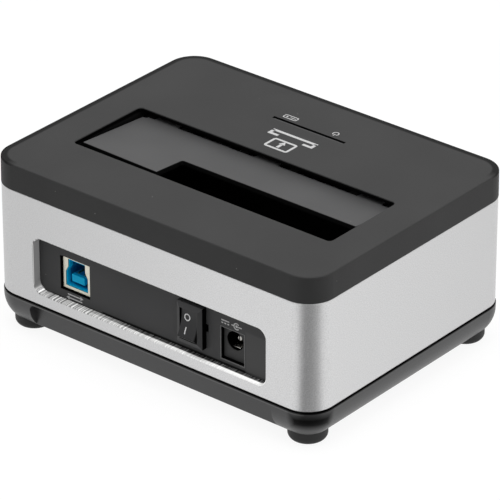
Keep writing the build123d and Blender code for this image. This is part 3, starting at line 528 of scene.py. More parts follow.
# %% [markdown]
# One recipe serves all the black mouldings. The grain gives roughness and a small bump, the
# drift moves the shade by an eighth, dust lies on that, and the coats come last. An image of
# plastic could be wrapped round each part, but its seams would show, and its grain would have
# one size. Here each part has its own.

# %% Moulded plastic
speck_scale = 650.0
dust_colour = (0.3, 0.29, 0.28)
drift_shares = (0.88, 1.12)
plastic_sway = 0.07


def join_masks(tree, masks, operation="MAXIMUM"):
    joined = masks[0]
    for mask in masks[1:]:
        joined = compute(tree, operation, joined, mask)
    return joined


def moulded_plastic(name, tone, roughness, grain_scale, grain_depth, dust=0.008, specular=0.25,
                    coats=()):
    material, tree, shader = new_material(name, specular=specular)
    grain = effect(tree, mould_grain, Grain_Scale=grain_scale, Drift_Scale=plastic_drift)
    dark, pale = [tuple(share * part for part in tone) for share in drift_shares]
    colour = cloudy(tree, grain["Drift"], dark, pale)
    speck = effect(tree, dust_specks, Speck_Scale=speck_scale, Amount=dust)["Speck"]
    colour = mix_colour(tree, speck, colour, dust_colour)
    painted_shade_masks = []
    for coat in coats:
        colour, deep = coat(tree, colour)
        if deep is not None:
            painted_shade_masks.append(deep)
    # where deep painted shade lies, the plastic becomes a dark metal with no reflection
    if painted_shade_masks:
        feed(tree, shader, Metallic=join_masks(tree, painted_shade_masks))
    rough = spread(tree, grain["Grain"], roughness - plastic_sway, roughness + plastic_sway)
    feed(tree, shader, Base_Color=colour, Roughness=rough)
    bump(tree, shader, grain["Grain"], grain_depth)
    return material


print("recipe: moulded plastic")

# %% [markdown]
# The rim of the cover that falls away from the camera is darker than the near one, as a rounded
# edge is where it turns towards the unlit side of a studio. Less light would darken the near
# rim too, so a band is painted along the far sides, at the top edge only.

# %% Far rim of the cover
cover_low, cover_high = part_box("top_cover")
cover_corner = 9.8 * mm
rim_tone = 0.011
rim_band = (2.0 * mm, 2.7 * mm)
rim_far_x = (56.0 * mm, 60.0 * mm)
rim_far_y = (-44.0 * mm, -40.0 * mm)
rim_top = (cover_high.z - 0.8 * mm, cover_high.z - 0.6 * mm)


def far_rim(tree, colour):
    outline = effect(tree, rim_distance, Centre=(cover_low + cover_high) / 2,
                     Half_Size=(cover_high - cover_low) / 2, Corner=cover_corner)
    place = axes(tree, own_place(tree))
    far = compute(tree, "MAXIMUM", spread(tree, place["X"], 0.0, 1.0, *rim_far_x),
                  spread(tree, place["Y"], 1.0, 0.0, *rim_far_y))
    band = spread(tree, outline["Inside"], 1.0, 0.0, *rim_band)
    top = spread(tree, place["Z"], 0.0, 1.0, *rim_top)
    rim = join_masks(tree, [far, band, top], operation="MULTIPLY")
    return mix_colour(tree, rim, colour, grey(rim_tone)), rim


print("cover is", round((cover_high.x - cover_low.x) / mm, 1), "mm wide")

# %% [markdown]
# The cover is matt and slightly grained. Below the lip of its slot the walls get painted shade,
# black, so that only the top edge of the lip catches light. Round the slit of the indicator goes
# a black edge of painted shade, and on the side of the slot a thin painted highlight. The slit
# and the top are found from the boxes of the solids, so these coats follow when the solids
# change.

# %% Cover
room = Vector((mm, mm, mm))
lip_shown = 0.35 * mm
guide_flange = Vector((1.6 * mm, 1.6 * mm, 0.0))
slit_edge = 0.15
gleam_width = 0.45 * mm

guide_low, guide_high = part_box("light_guide")
slit_low, slit_high = guide_low + guide_flange, guide_high - guide_flange
# painted shade: the walls of the slot below the lip go black
slot_wall_shade = patch(Vector((-55.0 * mm, -9.0 * mm, cover_low.z)),
                  Vector((54.0 * mm, 28.0 * mm, cover_high.z - lip_shown)), black)
# painted highlight: a thin pale strip on the slot side of the slit
slit_highlight = patch(Vector((slit_low.x, slit_high.y, cover_high.z - mm)),
                   Vector((slit_high.x - mm, slit_high.y + gleam_width, cover_high.z + mm)),
                   grey(0.085))
# painted shade: a black edge round the slit
slit_edge_shade = patch(slit_low - slit_edge * room,
                     Vector((slit_high.x + slit_edge * mm, slit_high.y + slit_edge * mm,
                             cover_high.z + mm)), grey(0.004))
cover_plastic = moulded_plastic("cover_plastic", grey(0.033), roughness=0.6, grain_scale=2600.0,
                                grain_depth=0.04 * mm,
                                coats=[slot_wall_shade, slit_highlight, slit_edge_shade, far_rim])
print("slit is", round((slit_high.x - slit_low.x) / mm, 1), "mm long")

# %% [markdown]
# A black band of painted shade fills the seam between the tray and the sleeve above it. Under
# the seam, at the rear, the tray's rim gets a darker strip of painted shade and then a thin
# painted highlight. A small lip in the solid could catch such a line of light, but it is less
# than half a millimetre high, and paint does.

# %% Seam and rear rim of the tray
base_low, base_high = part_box("base_tray")
sleeve_low, sleeve_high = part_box("body_sleeve")
seam_drop, strip_drop, line_drop = 0.7 * mm, 0.78 * mm, 1.2 * mm
rear_start, rear_end = base_high.y - 1.5 * mm, base_high.y + mm

# painted shade: a black band in the seam under the sleeve
seam = patch(Vector((base_low.x - mm, base_low.y - mm, sleeve_low.z - seam_drop)),
             base_high + room, grey(0.008))
# painted shade: a darker strip under the sleeve at the rear
rear_strip_shade = patch(Vector((base_low.x - mm, rear_start, sleeve_low.z - strip_drop)),
                   Vector((base_high.x, rear_end, sleeve_low.z)), grey(0.022))
# painted highlight: a thin pale line along the rear rim
rear_line_highlight = patch(Vector((base_low.x - mm, rear_start, sleeve_low.z - line_drop)),
                  Vector((base_high.x, rear_end, sleeve_low.z - strip_drop)), grey(0.09))
print("seam is", round(sleeve_low.z / mm, 2), "mm above the floor")

# %% [markdown]
# The tray is smoother than the cover, so its rounded underside picks up the white floor as a
# pale band. At the near corner its side gets painted shade above, for a dark reflection, and a
# painted highlight at the lower rounding. The two run into each other softly, so these patches
# have wide borders.

# %% Tray
corner_start = Vector((base_low.x - 3.0 * mm, 40.0 * mm, 6.5 * mm))
corner_end_y = base_high.y + 3.0 * mm
rounding_start, rounding_end = base_low.z + 0.2 * mm, base_low.z + 2.6 * mm

# painted shade: the near corner of the tray goes dark above
corner_shade = patch(corner_start, Vector((-57.0 * mm, corner_end_y, sleeve_low.z)),
                     grey(0.006), border=3.0 * mm)
# painted highlight: a pale band along the lower rounding of the near corner
corner_shine = patch(Vector((corner_start.x, corner_start.y, rounding_start)),
                     Vector((-55.0 * mm, corner_end_y, rounding_end)), grey(0.12),
                     border=0.8 * mm)
base_plastic = moulded_plastic("base_plastic", (0.030, 0.030, 0.031), roughness=0.40,
                               grain_scale=3000.0, grain_depth=0.04 * mm, specular=0.7,
                               coats=[seam, rear_strip_shade, rear_line_highlight, corner_shade, corner_shine])
print("tray's near corner is painted from", round(corner_start.y / mm, 1), "mm on")

# %% [markdown]
# The flap is paler and finer than the cover. Its edges stand in the gap, where little light gets
# in. Real shade would fade them less than the picture does, so they go dark by the way they
# face, which holds when the flap swings down too. The well is deep black, and the feet are
# soft, dull rubber.

# %% Flap, well and feet
flap_top = (0.0, 0.0, 1.0)
flap_plastic = moulded_plastic("flap_plastic", (0.074, 0.074, 0.075), roughness=0.5,
                               grain_scale=4200.0, grain_depth=0.02 * mm,
                               coats=[turned_away(flap_top, 0.5, 0.85, grey(0.014))])
bay_plastic = moulded_plastic("bay_plastic", grey(0.005), roughness=0.7, grain_scale=3000.0,
                              grain_depth=0.03 * mm, dust=0.0, specular=0.1)
foot_rubber = moulded_plastic("foot_rubber", grey(0.024), roughness=0.6, grain_scale=2600.0,
                              grain_depth=0.05 * mm, specular=0.3)
print("mouldings:", flap_plastic.name, bay_plastic.name, foot_rubber.name)

# %% [markdown]
# Light hardly gets into the port holes of the rear panel, so it goes black just behind its
# face. The punched hole of the inlet gets a thin painted highlight round its edge. Just above the
# milled sill the panel gets painted shade, and it is a little paler past the inlet.

# %% Rear panel
panel_grain = 3500.0
edge_reach = 0.36 * mm
jack_low, jack_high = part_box("dc_jack_body")
panel_low, panel_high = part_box("rear_panel")
jack_middle = (jack_low + jack_high) / 2
behind_face = panel_high.y - 0.25 * mm
well_behind = behind_face - 3.0 * mm

inlet_edge = {"Centre_X": jack_middle.x, "Centre_Z": jack_middle.z,
              "Half_Width": (jack_high.x - jack_low.x) / 2 + edge_reach,
              "Half_Height": (jack_high.z - jack_low.z) / 2 + edge_reach,
              "Thickness": 0.14 * mm}
hole_insides = patch(panel_low - Vector((0.0, mm, mm)),
                     Vector((panel_high.x, behind_face, panel_high.z)), black)
# painted shade: the panel goes dark in the crease just above the sill
sill_crease_shade = patch(Vector((-49.0 * mm, well_behind, 18.0 * mm)),
                   Vector((22.0 * mm, panel_high.y + mm, 19.7 * mm)), grey(0.010),
                   border=0.5 * mm)
past_inlet = patch(Vector((-60.0 * mm, well_behind, 17.0 * mm)),
                   Vector((jack_low.x - 0.4 * mm, panel_high.y + mm, 34.0 * mm)), grey(0.085),
                   border=1.2 * mm)
panel_plastic = moulded_plastic("panel_plastic", (0.056, 0.056, 0.057), roughness=0.6,
                                grain_scale=panel_grain, grain_depth=0.03 * mm,
                                coats=[edge_highlight_line(inlet_edge, grey(0.32), panel_grain),
                                       hole_insides, sill_crease_shade, past_inlet])
print("inlet face at", round(jack_high.y / mm, 2), "mm, panel face at",
      round(panel_high.y / mm, 2), "mm")

# %% [markdown]
# The bezel of the switch, the inlet and the drive socket are small mouldings with a very fine
# grain. The bezel gets painted shade on the faces that turn away from one direction: out of the
# panel, up, and towards the data socket. The inlet is black all through behind its front face,
# because light hardly gets into its bore.

# %% Bezel, inlet and drive socket
fine_grain, fine_depth = 5200.0, 0.01 * mm
switch_low, switch_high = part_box("switch_housing")
bezel_lit_from = (0.6, 0.5, 0.6)
# painted shade on the faces of the bezel that turn away from the light
bezel_plastic = moulded_plastic("bezel_plastic", (0.042, 0.042, 0.043), roughness=0.45,
                                grain_scale=fine_grain, grain_depth=fine_depth,
                                coats=[turned_away(bezel_lit_from, -0.1, 0.3)])
inlet_inside = patch(jack_low - room, jack_high + Vector((mm, -0.3 * mm, mm)), black)
inlet_plastic = moulded_plastic("inlet_plastic", grey(0.045), roughness=0.5,
                                grain_scale=fine_grain, grain_depth=fine_depth,
                                coats=[inlet_inside])
socket_black = moulded_plastic("socket_black", grey(0.012), roughness=0.4,
                               grain_scale=fine_grain, grain_depth=fine_depth)
print("bezel is", round((switch_high.x - switch_low.x) / mm, 1), "mm wide and",
      round((switch_high.z - switch_low.z) / mm, 1), "mm high")

# %% [markdown]
# The rocker sits in the bezel with a gap all round, so its edges get black painted shade. It
# rests tilted, and a mask along the dock's axes would cut across it. A Mapping node moves the
# pattern to the rocker's own axis and turns it by the tilt, so that the dark edges run along the
# rocker.

# %% Rocker
rocker_joint = next(joint for joint in frame["record"]["behaviour"]["joints"]
                    if joint["name"] == "switch_rock")
rocker_pivot = Vector(rocker_joint["pos_m"])
rocker_tilt = math.radians(12.0)
rocker_shaded_edges = {"Z": (4.3 * mm, 4.75 * mm), "X": (3.15 * mm, 3.4 * mm)}


def rocker_plastic():
    material, tree, shader = new_material("rocker_plastic", specular=0.3)
    grain = effect(tree, mould_grain, Grain_Scale=fine_grain, Drift_Scale=80.0)
    level = add_node(tree, "ShaderNodeMapping",
                     {"Vector": own_place(tree), "Location": rocker_pivot,
                      "Rotation": (rocker_tilt, 0.0, 0.0)}, vector_type="TEXTURE")
    place = axes(tree, level.outputs["Vector"])
    colour = cloudy(tree, grain["Drift"], (0.013, 0.013, 0.014), (0.018, 0.018, 0.019))
    # painted shade: the rocker's edges go black towards the gap
    for axis, border in rocker_shaded_edges.items():
        edge = spread(tree, compute(tree, "ABSOLUTE", place[axis]), 0.0, 1.0, *border)
        colour = mix_colour(tree, edge, colour, black)
    feed(tree, shader, Base_Color=colour, Roughness=spread(tree, grain["Grain"], 0.32, 0.46))
    bump(tree, shader, grain["Grain"], fine_depth)
    return material


switch_plastic = rocker_plastic()
print("rocker turns about", [round(value / mm, 2) for value in rocker_pivot])

# %% [markdown]
# The sleeve is an aluminium tube, bead blasted and then anodised clear. The window was milled
# after blasting, so its walls are bright. One material holds both, and the walls are picked out
# by where they are, within the wall's thickness, and by not facing the rear. Two materials on
# two sets of faces would need the solid's mesh changed, and it is left alone.

# %% Where the sleeve is milled
window_low = Vector((-49.2, 47.3, 17.9)) * mm
window_high = Vector((49.8, 51.0, 39.1)) * mm
facing_rear = 0.9


def milled_places(tree):
    inside = effect(tree, box_mask, Low_Corner=window_low, High_Corner=window_high)["Mask"]
    sideways = compute(tree, "LESS_THAN", axes(tree, own_facing(tree))["Y"], facing_rear)
    return compute(tree, "MULTIPLY", inside, sideways)


print("window is", round((window_high.x - window_low.x) / mm, 1), "mm wide")

# %% [markdown]
# The cutter left its marks across the sill. Noise of one dimension, read along the window,
# gives stripes that cross it. They are strongest beside the data socket, and the sill grows pale
# towards the inlet. The inner half of the sill gets a painted reflection of the black panel, dark
# with only flecks, and the end wall gets painted shade.

# %% Milled sill and walls
sill_middle = (panel_high.y + sleeve_high.y) / 2
flecks_fade_y = (sill_middle - 0.35 * mm, sill_middle + 0.1 * mm)
flecks_fade_x = (8.0 * mm, 36.0 * mm)
paler_reach = (38.0 * mm, -36.0 * mm)
marks_stops = [(0.38, grey(0.13)), (0.50, grey(0.38)), (0.65, (0.86, 0.86, 0.85))]
flecks_stops = [(0.42, grey(0.006)), (0.68, grey(0.16))]
along_window = (1.0, 0.0, 0.0)


def milled_finish(tree, place):
    marks = add_node(tree, "ShaderNodeTexNoise", {"W": place["X"], "Scale": 1300.0,
                                                  "Detail": 3.0, "Roughness": 0.7},
                     noise_dimensions="1D").outputs["Fac"]
    # the sill grows paler towards the inlet
    paler_share = spread(tree, place["X"], 0.0, 0.85, *paler_reach)
    milled = mix_colour(tree, paler_share, ramp(tree, marks, marks_stops), (0.97, 0.97, 0.96))
    # painted reflection of the black panel: the inner half of the sill goes dark with flecks
    inner = compute(tree, "MULTIPLY", spread(tree, place["Y"], 1.0, 0.0, *flecks_fade_y),
                    spread(tree, place["X"], 1.0, 0.0, *flecks_fade_x))
    milled = mix_colour(tree, inner, milled, ramp(tree, marks, flecks_stops))
    # painted shade on the end wall that faces along -X
    end_wall_shade = facing_away(tree, along_window, -0.97, -0.6)
    return mix_colour(tree, end_wall_shade, milled, grey(0.19)), marks


print("sill from", round(panel_high.y / mm, 2), "to", round(sleeve_high.y / mm, 2), "mm")

# %% [markdown]
# Beads leave a fine sparkle with no direction, so the blasted finish is grain alone, with painted
# shade that makes it a little dimmer towards the far sides. A milled wall is polished by the
# cutter along its edges and throws back the bright surroundings of the dock. Leaning its normal
# outwards by a share of the rear direction does the same, without a change of shape.

# %% Blasted and milled aluminium
outward_lean = 0.75


def blasted_finish(tree, place, grain):
    blasted = ramp(tree, grain, [(0.32, (0.535, 0.535, 0.538)), (0.68, (0.745, 0.745, 0.748))])
    # painted shade: the metal goes darker towards +X and towards -Y
    dimmer = compute(tree, "ADD", spread(tree, place["X"], 0.0, 0.36, -35.0 * mm, 50.0 * mm),
                     spread(tree, place["Y"], 0.22, 0.0, -50.0 * mm, 40.0 * mm))
    return mix_colour(tree, dimmer, blasted, (0.38, 0.38, 0.382))


def leaning_normal(tree, mask):
    feeds = {0: (0.0, outward_lean, 0.0), "Scale": mask}
    outward = add_node(tree, "ShaderNodeVectorMath", feeds, operation="SCALE").outputs["Vector"]
    facing = add_node(tree, "ShaderNodeNewGeometry").outputs["Normal"]
    leaning = compute_vector(tree, "ADD", facing, outward)["Vector"]
    return compute_vector(tree, "NORMALIZE", leaning)["Vector"]


def blasted_aluminium():
    material, tree, shader = new_material("blasted_aluminium", metallic=1.0)
    mask = milled_places(tree)
    place = axes(tree, own_place(tree))
    grain = effect(tree, mould_grain, Grain_Scale=3200.0, Drift_Scale=22.0)["Grain"]
    milled, marks = milled_finish(tree, place)
    colour = mix_colour(tree, mask, blasted_finish(tree, place, grain), milled)
    rough = mix_value(tree, mask, spread(tree, grain, 0.34, 0.48), spread(tree, marks, 0.3, 0.5))
    feed(tree, shader, Base_Color=colour, Roughness=rough)
    bump(tree, shader, mix_value(tree, mask, grain, marks), 0.03 * mm,
         lean=leaning_normal(tree, mask))
    return material


sleeve_metal = blasted_aluminium()
print("sleeve material:", sleeve_metal.name)

# %% [markdown]
# The data socket is a folded shell with a warm, slightly cloudy tin plate. The same recipe with
# other colours serves for the pins, the screws and the spring. Each plated metal has a darker
# and a paler shade. Its clouds also change how sharply it reflects, which a single roughness
# would not.

# %% Plated metals
cloud_scale = 900.0
plate_sway = 0.06


def plated_metal(name, dark, pale, roughness):
    material, tree, shader = new_material(name, metallic=1.0)
    cloud = effect(tree, mould_grain, Grain_Scale=cloud_scale, Drift_Scale=120.0)
    rough = spread(tree, cloud["Drift"], roughness - plate_sway, roughness + plate_sway)
    feed(tree, shader, Base_Color=cloudy(tree, cloud["Grain"], dark, pale), Roughness=rough)
    bump(tree, shader, cloud["Grain"], fine_depth)
    return material


tin_plate = plated_metal("tin_plate", (0.56, 0.54, 0.45), (0.68, 0.66, 0.57), 0.36)
gold_plate = plated_metal("gold_plate", (0.80, 0.58, 0.22), (0.92, 0.72, 0.34), 0.25)
nickel_plate = plated_metal("nickel_plate", (0.40, 0.39, 0.37), (0.50, 0.49, 0.46), 0.25)
zinc_plate = plated_metal("zinc_plate", (0.5, 0.51, 0.53), (0.62, 0.63, 0.66), 0.32)
spring_wire = plated_metal("spring_wire", (0.34, 0.34, 0.35), (0.46, 0.46, 0.47), 0.3)
can_metal = plated_metal("can_metal", (0.72, 0.72, 0.73), (0.82, 0.82, 0.83), 0.28)
print("plated:", tin_plate.name, gold_plate.name, nickel_plate.name, zinc_plate.name)

# %% [markdown]
# Inside the shell sits a saturated blue moulding. The front of its tongue faces the light and
# looks much brighter, so a patch gives it a lighter blue. Headers, leads, lamps and chips are
# coloured mouldings too. Most of them sit inside, where dust would not be seen, so they have a
# plainer recipe than the black ones.

# %% Coloured mouldings
moulding_sway = 0.05


def coloured_moulding(name, dark, pale, roughness, specular=0.5, coats=()):
    material, tree, shader = new_material(name, roughness=roughness, specular=specular)
    grain = effect(tree, mould_grain, Grain_Scale=5000.0, Drift_Scale=150.0)
    colour = cloudy(tree, grain["Drift"], dark, pale)
    for coat in coats:
        colour, _ = coat(tree, colour)
    rough = spread(tree, grain["Grain"], roughness - moulding_sway, roughness + moulding_sway)
    feed(tree, shader, Base_Color=colour, Roughness=rough)
    bump(tree, shader, grain["Grain"], fine_depth)
    return material


tongue_depth = 0.5 * mm
insulator_low, insulator_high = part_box("usb_insulator")
tongue_start = Vector((insulator_low.x, insulator_high.y - tongue_depth, insulator_low.z)) - room
tongue_front = patch(tongue_start, insulator_high + room, (0.001, 0.55, 0.95))
socket_blue = coloured_moulding("socket_blue", (0.001, 0.20, 0.48), (0.002, 0.27, 0.60), 0.4,
                                specular=0.12, coats=[tongue_front])
guide_tint = coloured_moulding("guide_tint", (0.006, 0.006, 0.007), (0.009, 0.009, 0.01), 0.22)
header_nylon = coloured_moulding("header_nylon", (0.68, 0.65, 0.54), (0.76, 0.73, 0.63), 0.45)
lead_vinyl = coloured_moulding("lead_vinyl", (0.28, 0.01, 0.01), (0.36, 0.02, 0.02), 0.4)
led_epoxy = coloured_moulding("led_epoxy", (0.62, 0.64, 0.66), (0.74, 0.76, 0.78), 0.15)
chip_epoxy = coloured_moulding("chip_epoxy", (0.014, 0.014, 0.015), (0.02, 0.02, 0.021), 0.5)
ferrite = coloured_moulding("ferrite", (0.045, 0.045, 0.045), (0.07, 0.07, 0.068), 0.65)
print("coloured:", socket_blue.name, header_nylon.name, lead_vinyl.name, led_epoxy.name)

# %% [markdown]
# A circuit board is glass fibre under a green lacquer, with copper tracks that show as slightly
# raised lines. Real tracks would be hundreds of small solids on boards that no one sees from
# outside. A brick pattern at track scale stands for them, both in colour and in height.

# %% Circuit board
track_scale, track_width = 260.0, 0.06


def solder_mask():
    material, tree, shader = new_material("solder_mask", roughness=0.3)
    tracks = add_node(tree, "ShaderNodeTexBrick", {"Vector": own_place(tree),
                                                   "Scale": track_scale,
                                                   "Mortar Size": track_width}).outputs["Fac"]
    lacquer = mix_colour(tree, tracks, (0.010, 0.085, 0.035), (0.02, 0.14, 0.06))
    feed(tree, shader, Base_Color=lacquer)
    bump(tree, shader, tracks, 0.03 * mm)
    return material


board_mask = solder_mask()
print("board lacquer:", board_mask.name)

# %% [markdown]
# Each solid now gets its finish. The table goes from finish to solids, because many small
# solids share one. Dressed by hand in the editor, 42 solids would have to be done again after
# each change of the model. The last line names any solid that was forgotten.

# %% Dress the solids
feet = [f"foot_{end}_{side}" for end in ("front", "rear") for side in ("left", "right")]
finishes = [
    (cover_plastic, ["top_cover"]), (sleeve_metal, ["body_sleeve"]),
    (base_plastic, ["base_tray"]), (foot_rubber, feet), (panel_plastic, ["rear_panel"]),
    (flap_plastic, ["flap_door"]), (bay_plastic, ["drive_bay"]), (guide_tint, ["light_guide"]),
    (tin_plate, ["usb_shell"]), (socket_blue, ["usb_insulator"]),
    (gold_plate, ["usb_contacts", "sata_contacts"]), (inlet_plastic, ["dc_jack_body"]),
    (nickel_plate, ["dc_jack_pin", "dc_jack_spring", "switch_terminals"]),
    (bezel_plastic, ["switch_housing"]), (switch_plastic, ["switch_rocker"]),
    (spring_wire, ["flap_hinge_pin", "flap_spring"]), (board_mask, ["main_board", "led_board"]),
    (zinc_plate, ["board_screws", "led_board_screws", "bay_screws", "case_screws"]),
    (socket_black, ["sata_socket"]), (chip_epoxy, ["bridge_chip", "regulator_chips"]),
    (ferrite, ["power_inductors"]), (can_metal, ["capacitors", "clock_crystal"]),
    (header_nylon, ["switch_header", "led_header", "main_led_header"]),
    (lead_vinyl, ["switch_leads", "led_leads"]), (led_epoxy, ["power_led", "drive_led"]),
]
dressed = set()
for material, names in finishes:
    for name in names:
        nodes[name].data.materials.clear()
        nodes[name].data.materials.append(material)
        dressed.add(name)
print("dressed", len(dressed), "solids; bare:", sorted(set(nodes) - dressed))

# %% [markdown]
# The printed marks are thin films of pale ink, three hundredths of a millimetre thick. They
# could be painted by masks, but a mark made of geometry keeps a sharp edge at any distance.
# Each is drawn flat from a few strokes. A bar is a grid of one face, and an arc or a ring is
# one short edge spun about a centre. A dot is a ring with next to no hole.

# %% Bars, arcs and dots
arc_step = 9.0
full_turn = 360.0
dot_hole = 0.0001 * mm


def bar_stroke(shape, centre, width, height):
    made = bmesh.ops.create_grid(shape, x_segments=1, y_segments=1, size=0.5)["verts"]
    bmesh.ops.scale(shape, vec=(width, height, 1.0), verts=made)
    bmesh.ops.translate(shape, vec=(*centre, 0.0), verts=made)


def arc_stroke(shape, centre, inner, outer, start=0.0, sweep=full_turn):
    ends = [shape.verts.new(spoke(centre, math.radians(start), reach))
            for reach in (inner, outer)]
    edge = shape.edges.new(ends)
    bmesh.ops.spin(shape, geom=ends + [edge], cent=(*centre, 0.0), axis=(0, 0, 1),
                   angle=math.radians(sweep), steps=max(6, round(sweep / arc_step)),
                   use_merge=sweep == full_turn, use_duplicate=False)


def dot_stroke(shape, centre, radius):
    arc_stroke(shape, centre, dot_hole, radius)


print("strokes: bar, arc, dot")

# %% [markdown]
# An arrowhead is a circle of three corners, turned to its point. A box with rounded corners is
# four bars and four quarter arcs, laid end to end. One outline inset from another would do it
# too, but the strokes are here already.

# %% Arrowheads and rounded boxes
def arrow_stroke(shape, centre, size, point):
    made = bmesh.ops.create_circle(shape, cap_ends=True, segments=3, radius=size)["verts"]
    turn = Matrix.Rotation(math.radians(point - 90.0), 3, "Z")
    bmesh.ops.rotate(shape, cent=(0, 0, 0), matrix=turn, verts=made)
    bmesh.ops.translate(shape, vec=(*centre, 0.0), verts=made)


def box_stroke(shape, centre, width, height, corner, line):
    centre_x, centre_y = centre
    for side in (-1, 1):
        bar_stroke(shape, (centre_x, centre_y + side * (height - line) / 2),
                   width - 2 * corner, line)
        bar_stroke(shape, (centre_x + side * (width - line) / 2, centre_y),
                   line, height - 2 * corner)
    for quarter, (side_x, side_y) in enumerate(((1, 1), (-1, 1), (-1, -1), (1, -1))):
        middle = (centre_x + side_x * (width / 2 - corner),
                  centre_y + side_y * (height / 2 - corner))
        arc_stroke(shape, middle, corner - line, corner, start=90.0 * quarter, sweep=90.0)


print("strokes: arrow, box")

# %% [markdown]
# Ink on a grained plastic lies thin on the peaks and shows a little of the plastic through, so
# its colour breaks up at the scale of the grain. Plain white would look like a sticker.

# %% Ink
thin_share = 0.62


def pale_ink(name, tone):
    material, tree, shader = new_material(name, specular=0.3)
    grain = effect(tree, mould_grain, Grain_Scale=3600.0, Drift_Scale=300.0)
    colour = ramp(tree, grain["Grain"], [(0.34, grey(thin_share * tone)), (0.5, grey(tone))])
    feed(tree, shader, Base_Color=colour, Roughness=spread(tree, grain["Drift"], 0.45, 0.6))
    bump(tree, shader, grain["Grain"], 0.005 * mm)
    return material


cover_ink = pale_ink("cover_ink", 0.72)
panel_ink = pale_ink("panel_ink", 0.66)
switch_ink = pale_ink("switch_ink", 0.95)
print("inks:", cover_ink.name, panel_ink.name, switch_ink.name)

# %% [markdown]
# All strokes of a mark get their thickness together: the flat faces are extruded once, which
# also closes the sides. A Solidify modifier would do the same, but an extrusion leaves nothing
# to be applied later. A third of the film sinks into the plastic so that no light shows under
# it. Two directions, across and upward, then lay the mark on the face that carries it.

# %% Lay a mark on its face
ink_thickness = 0.03 * mm
ink_sink = ink_thickness / 3
weld_distance = 0.001 * mm
cover_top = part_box("top_cover")[1].z


def lay_mark(name, shape, origin, across, upward, ink, body, bend=None):
    bmesh.ops.remove_doubles(shape, verts=shape.verts[:], dist=weld_distance)
    grown = bmesh.ops.extrude_face_region(shape, geom=shape.faces[:])["geom"]
    raised = [item for item in grown if isinstance(item, bmesh.types.BMVert)]
    bmesh.ops.translate(shape, vec=(0.0, 0.0, ink_thickness), verts=raised)
    bmesh.ops.translate(shape, vec=(0.0, 0.0, -ink_sink), verts=shape.verts[:])
    if bend:
        for point in shape.verts:
            point.co.z += bend(point.co.y)
    across, upward = Vector(across), Vector(upward)
    turn = Matrix((across, upward, across.cross(upward))).transposed().to_4x4()
    bmesh.ops.transform(shape, matrix=Matrix.Translation(origin) @ turn, verts=shape.verts[:])
    bmesh.ops.recalc_face_normals(shape, faces=shape.faces[:])
    mark = finished_piece(name, shape, ink)
    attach(mark, body)
    print(name, len(mark.data.polygons), "faces")


def on_cover(name, shape, x, y):
    lay_mark(name, shape, (x, y, cover_top), (1, 0, 0), (0, 1, 0), cover_ink, "housing")


def on_panel(name, shape, x, z):
    lay_mark(name, shape, (x, panel_high.y, z), (-1, 0, 0), (0, 0, 1), panel_ink, "housing")


print("marks are", round(ink_thickness / mm, 2), "mm thick")

# %% [markdown]
# Two small signs name the lamps under the slit: an outline of a drive with its hub and arm, and
# the usual ring with a bar for power. The lamps could be told apart by their colours alone, but
# a sign works for everyone.

# %% Signs of the two lamps
def drive_sign():
    shape = bmesh.new()
    box_stroke(shape, (0.0, 0.0), width=5.6 * mm, height=2.3 * mm, corner=0.6 * mm,
               line=0.34 * mm)
    dot_stroke(shape, (1.5 * mm, 0.0), radius=0.38 * mm)
    bar_stroke(shape, (-1.0 * mm, 0.0), width=2.2 * mm, height=0.32 * mm)
    on_cover("drive_light_sign", shape, x=9.1 * mm, y=-32.6 * mm)


def power_sign():
    shape = bmesh.new()
    arc_stroke(shape, (0.0, -0.15 * mm), 0.85 * mm, 1.2 * mm, start=125.0, sweep=290.0)
    bar_stroke(shape, (0.0, 0.75 * mm), width=0.34 * mm, height=1.3 * mm)
    on_cover("power_light_sign", shape, x=-9.6 * mm, y=-32.7 * mm)


drive_sign()
power_sign()

# %% [markdown]
# The large sign beside the slot tells how a drive goes in: a box with an arrow above an open
# tray. The tray is a floor, two short walls and two lips. The walls reach well into the floor,
# so that no gap opens between the strokes.

# %% Sign for putting a drive in
def insert_sign():
    line = 1.15 * mm
    tray_width, tray_floor = 18.6 * mm, -4.9 * mm
    lip_length, lip_level = 4.2 * mm, -2.4 * mm
    wall_top = lip_level - line / 2
    wall_foot = tray_floor + line / 2 - 0.6 * mm
    shape = bmesh.new()
    box_stroke(shape, (0.0, 2.6 * mm), width=9.8 * mm, height=6.6 * mm, corner=1.1 * mm,
               line=0.9 * mm)
    bar_stroke(shape, (0.0, 3.2 * mm), width=1.1 * mm, height=2.6 * mm)
    arrow_stroke(shape, (0.0, 1.35 * mm), size=1.45 * mm, point=-90.0)
    for side in (-1, 1):
        bar_stroke(shape, (side * (tray_width - lip_length) / 2, lip_level), lip_length, line)
        bar_stroke(shape, (side * (tray_width - line) / 2, (wall_top + wall_foot) / 2), line,
                   wall_top - wall_foot)
    bar_stroke(shape, (0.0, tray_floor), tray_width, line)
    on_cover("insert_drive_sign", shape, x=-0.9 * mm, y=-17.6 * mm)


insert_sign()

# %% [markdown]
# Under the data socket two arrows point opposite ways, for data that goes in and out. Over the
# inlet stand the sign for direct current, a line above three dashes, and a plug seen from its
# end, a broken ring round a dot with a short line on each side.

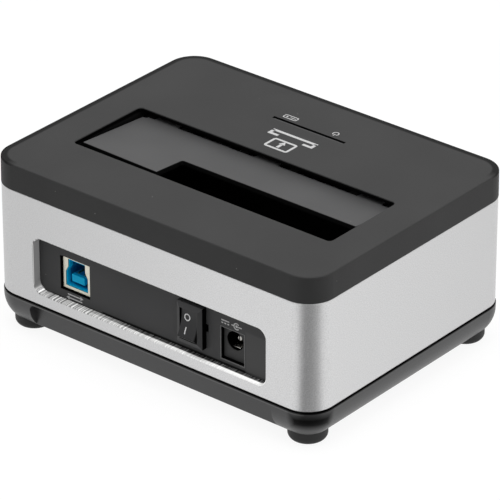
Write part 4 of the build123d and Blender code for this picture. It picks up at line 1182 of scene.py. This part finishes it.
# %% Signs on the rear panel
def data_sign():
    shape = bmesh.new()
    for side, point in ((1, 0.0), (-1, 180.0)):
        level = side * 0.62 * mm
        bar_stroke(shape, (-side * 0.35 * mm, level), width=5.4 * mm, height=0.42 * mm)
        arrow_stroke(shape, (side * 2.8 * mm, level), size=0.85 * mm, point=point)
    on_panel("data_socket_sign", shape, x=33.6 * mm, z=20.2 * mm)


def inlet_sign():
    current_x, plug_x = -2.6 * mm, 2.0 * mm
    current_line, plug_line = 0.45 * mm, 0.42 * mm
    shape = bmesh.new()
    bar_stroke(shape, (current_x, 0.5 * mm), width=3.2 * mm, height=current_line)
    for place in (-1, 0, 1):
        bar_stroke(shape, (current_x + place * 1.2 * mm, -0.45 * mm), width=0.75 * mm,
                   height=current_line)
    arc_stroke(shape, (plug_x, 0.0), 0.85 * mm, 1.28 * mm, start=40.0, sweep=280.0)
    dot_stroke(shape, (plug_x, 0.0), radius=0.48 * mm)
    bar_stroke(shape, (3.3 * mm, 0.0), width=1.6 * mm, height=plug_line)
    bar_stroke(shape, (0.3 * mm, 0.0), width=0.8 * mm, height=plug_line)
    on_panel("inlet_sign", shape, x=-32.5 * mm, z=34.1 * mm)


data_sign()
inlet_sign()

# %% [markdown]
# The rocker's face is hollow, a shallow arc, so each point of its marks is moved onto that
# arc. A Shrinkwrap modifier could press them onto the face, but the arc is known exactly. The
# marks lean with the rocker and ride on it, so they follow when it tips.

# %% Marks on the rocker
hollow_radius = 14.33 * mm
hollow_level = 2.75 * mm
mark_shift = Vector((0.8 * mm, 0.0, 0.0))


def on_hollow(along):
    return hollow_level + hollow_radius - math.sqrt(hollow_radius ** 2 - along ** 2)


def on_rocker(name, shape, centre):
    upward = Matrix.Rotation(rocker_tilt, 3, "X") @ Vector((0.0, 0.0, 1.0))
    lay_mark(name, shape, rocker_pivot + upward * centre + mark_shift, (-1.0, 0.0, 0.0), upward,
             switch_ink, "rocker", bend=lambda height: on_hollow(height + centre))


off_ring = bmesh.new()
arc_stroke(off_ring, (0.0, 0.0), 0.85 * mm, 1.25 * mm)
on_rocker("switch_off_sign", off_ring, centre=2.0 * mm)
on_bar = bmesh.new()
bar_stroke(on_bar, (0.0, 0.0), width=0.38 * mm, height=2.4 * mm)
on_rocker("switch_on_sign", on_bar, centre=-2.5 * mm)
